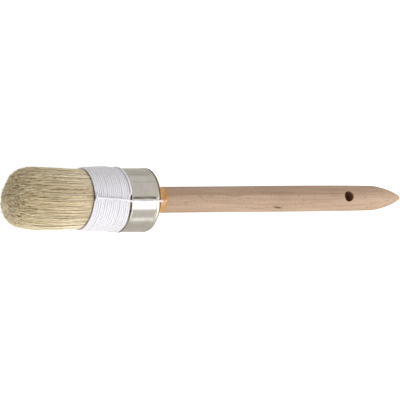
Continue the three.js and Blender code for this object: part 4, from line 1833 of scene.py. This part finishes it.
@dataclass
class Studio:
    """Camera, lamps, world and floor, with angles in degrees and lengths in millimetres."""

    layout: Layout
    tilt: float = 30.5
    side: float = 9.0
    roll: float = 0.52
    distance: float = 1383.0
    lens: float = 196.0
    aim_behind_rim: float = 40.0
    aim_drop: float = 0.28
    softboxes: tuple[Softbox, ...] = (
        Softbox("key_softbox", (0.51, -0.357, 0.784), 1.2, 0.9, 0.55, 5.3),
        Softbox("front_softbox", (-0.6, -0.74, 0.3), 1.2, 0.5, 0.5, 4.0),
        Softbox("low_softbox", (0.4, -0.91, 0.12), 1.1, 1.4, 0.26, 0.65),
        Softbox("rear_softbox", (0.83, -0.45, 0.33), 1.2, 0.5, 0.8, 2.4),
    )
    card_angle: float = 7.2
    card_width: float = 140.0
    card_distance: float = 1100.0
    card_reach: float = 420.0
    floor_reach: float = 4000.0
    floor_drop: float = 0.4
    ambient: float = 0.65

    def camera(self) -> Any:
        """Stand the camera where the photographer's stood: above, on the bristles' side.

        Returns:
            The camera.
        """
        lay = self.layout
        tilt, side, roll = (math.radians(a) for a in (self.tilt, self.side, self.roll))
        across = Vector((0.0, -math.sin(side), math.cos(side)))
        along = Vector((1.0, 0.0, 0.0))
        back = across * math.cos(tilt) - along * math.sin(tilt)
        right = along * math.cos(tilt) + across * math.sin(tilt)
        up = back.cross(right)
        turned_up = up * math.cos(roll) + right * math.sin(roll)
        turned_right = right * math.cos(roll) - up * math.sin(roll)
        target = Vector((lay.ferrule_rear_x + self.aim_behind_rim, 0.0, lay.axis_z)) - up * self.aim_drop
        data = bpy.data.cameras.new("camera")
        data.lens, data.sensor_width = self.lens, 36.0
        data.clip_start, data.clip_end = 0.05, 50.0
        made = place_object("camera", data)
        made.matrix_world = Matrix.Translation((target + back * self.distance) * MM) @ Matrix(
            (turned_right, turned_up, back)).transposed().to_4x4()
        bpy.context.scene.camera = made
        return made

    def lamps(self) -> None:
        """A big softbox above, and smaller ones in front, low down and towards the handle."""
        target = Vector((0.0, 0.0, self.layout.axis_z * MM))
        for softbox in self.softboxes:
            softbox.make(target)

    def card(self) -> Any:
        """A narrow black card along the softbox's edge, which the tin shows as a dark line.

        Returns:
            The card.
        """
        side, tilt, off = (math.radians(a) for a in (self.side, self.tilt, self.card_angle))
        across = Vector((0.0, -math.sin(side - off), math.cos(side - off)))
        along = Vector((1.0, 0.0, 0.0))
        back = across * math.cos(tilt) + along * math.sin(tilt)
        end = back.cross(along).normalized() * self.card_width / 2
        centre = Vector((0.0, 0.0, self.layout.axis_z)) + back * self.card_distance
        spots = [centre + along * (reach * self.card_reach) + end * half
                 for reach, half in ((-1, -1), (1, -1), (1, 1), (-1, 1))]
        card = place_mesh("black_card", spots, [(0, 1, 2, 3)])
        paint = Paint("black_felt")
        card.data.materials.append(paint.finish({"Base Color": linear("#101010"), "Roughness": 1.0}))
        card.visible_camera = False
        return card

    def world(self) -> None:
        """White to the eye and in reflections, and an even, plain light on everything."""
        world = bpy.data.worlds.new("studio_world")
        bpy.context.scene.world = world
        world.use_nodes = True
        tree = world.node_tree
        tree.nodes.clear()
        path = add(tree, "ShaderNodeLightPath").outputs
        seen = path["Is Camera Ray"]
        for ray in ("Is Glossy Ray", "Is Transmission Ray"):
            seen = add(tree, "ShaderNodeMath", seen, path[ray], operation="MAXIMUM")
        strength = add(tree, "ShaderNodeMapRange", seen, 0.0, 1.0, self.ambient, 1.0)
        sky = add(tree, "ShaderNodeBackground", {"Color": linear("#ffffff"), "Strength": strength})
        add(tree, "ShaderNodeOutputWorld", {"Surface": sky})

    def floor(self) -> Any:
        """A plain pale floor that looks white and still takes the brush's shadow.

        Returns:
            The floor.
        """
        size = self.floor_reach
        spots = [(x, y, -self.floor_drop)
                 for x, y in ((-size, -size), (size, -size), (size, size), (-size, size))]
        made = place_mesh("floor", spots, [(0, 1, 2, 3)])
        material = bpy.data.materials.new("pale_floor")
        material.use_nodes = True
        tree = material.node_tree
        tree.nodes.clear()
        # The camera sees it lit up to white, and the tin sees it as the plain grey table it is.
        path = add(tree, "ShaderNodeLightPath").outputs
        white = add(tree, "ShaderNodeBsdfDiffuse", {"Color": linear("#ebebeb")})
        grey = add(tree, "ShaderNodeBsdfDiffuse", {"Color": linear("#dddcd8")})
        glow = add(tree, "ShaderNodeEmission", {"Strength": 0.6})
        lifted = add(tree, "ShaderNodeAddShader", white, glow)
        shown = add(tree, "ShaderNodeMixShader", path["Is Glossy Ray"], white, grey)
        shown = add(tree, "ShaderNodeMixShader", path["Is Camera Ray"], shown, lifted)
        add(tree, "ShaderNodeOutputMaterial", {"Surface": shown})
        made.data.materials.append(material)
        return made

    def make(self) -> None:
        """Set up the whole studio."""
        self.camera()
        self.lamps()
        self.card()
        self.world()
        self.floor()
        bpy.context.scene.view_settings.view_transform = "Standard"


# ---------------------------------------------------------------- the whole brush


def main() -> None:
    """Build every sub-assembly in order and note the sizes."""
    logging.basicConfig(level=logging.INFO, format="%(message)s")
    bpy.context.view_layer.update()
    layout = Layout.from_frame()
    Studio(layout).make()
    bound = PackedBristleFinish("bound_hog_bristle", "#8f8674", "#2b241a", painted_light_below=32.5)
    heart = PackedBristleFinish("packed_hog_bristle", "#b7a27a", "#77633f")
    makers = (
        Handle(layout, BeechFinish()),
        Ferrule(layout, TinplateFinish()),
        BindingCord(layout, CordFinish()),
        Bristles(layout, BristleFinish(), heart),
        BoundBristles(layout, bound),
        ResinCollar(layout, ResinFinish()),
    )
    for maker in makers:
        made = maker.make()
        for piece in made if isinstance(made, list) else [made]:
            LOG.info("%s: %d faces", piece.name, len(piece.data.polygons))


if __name__ == "__main__":
    main()
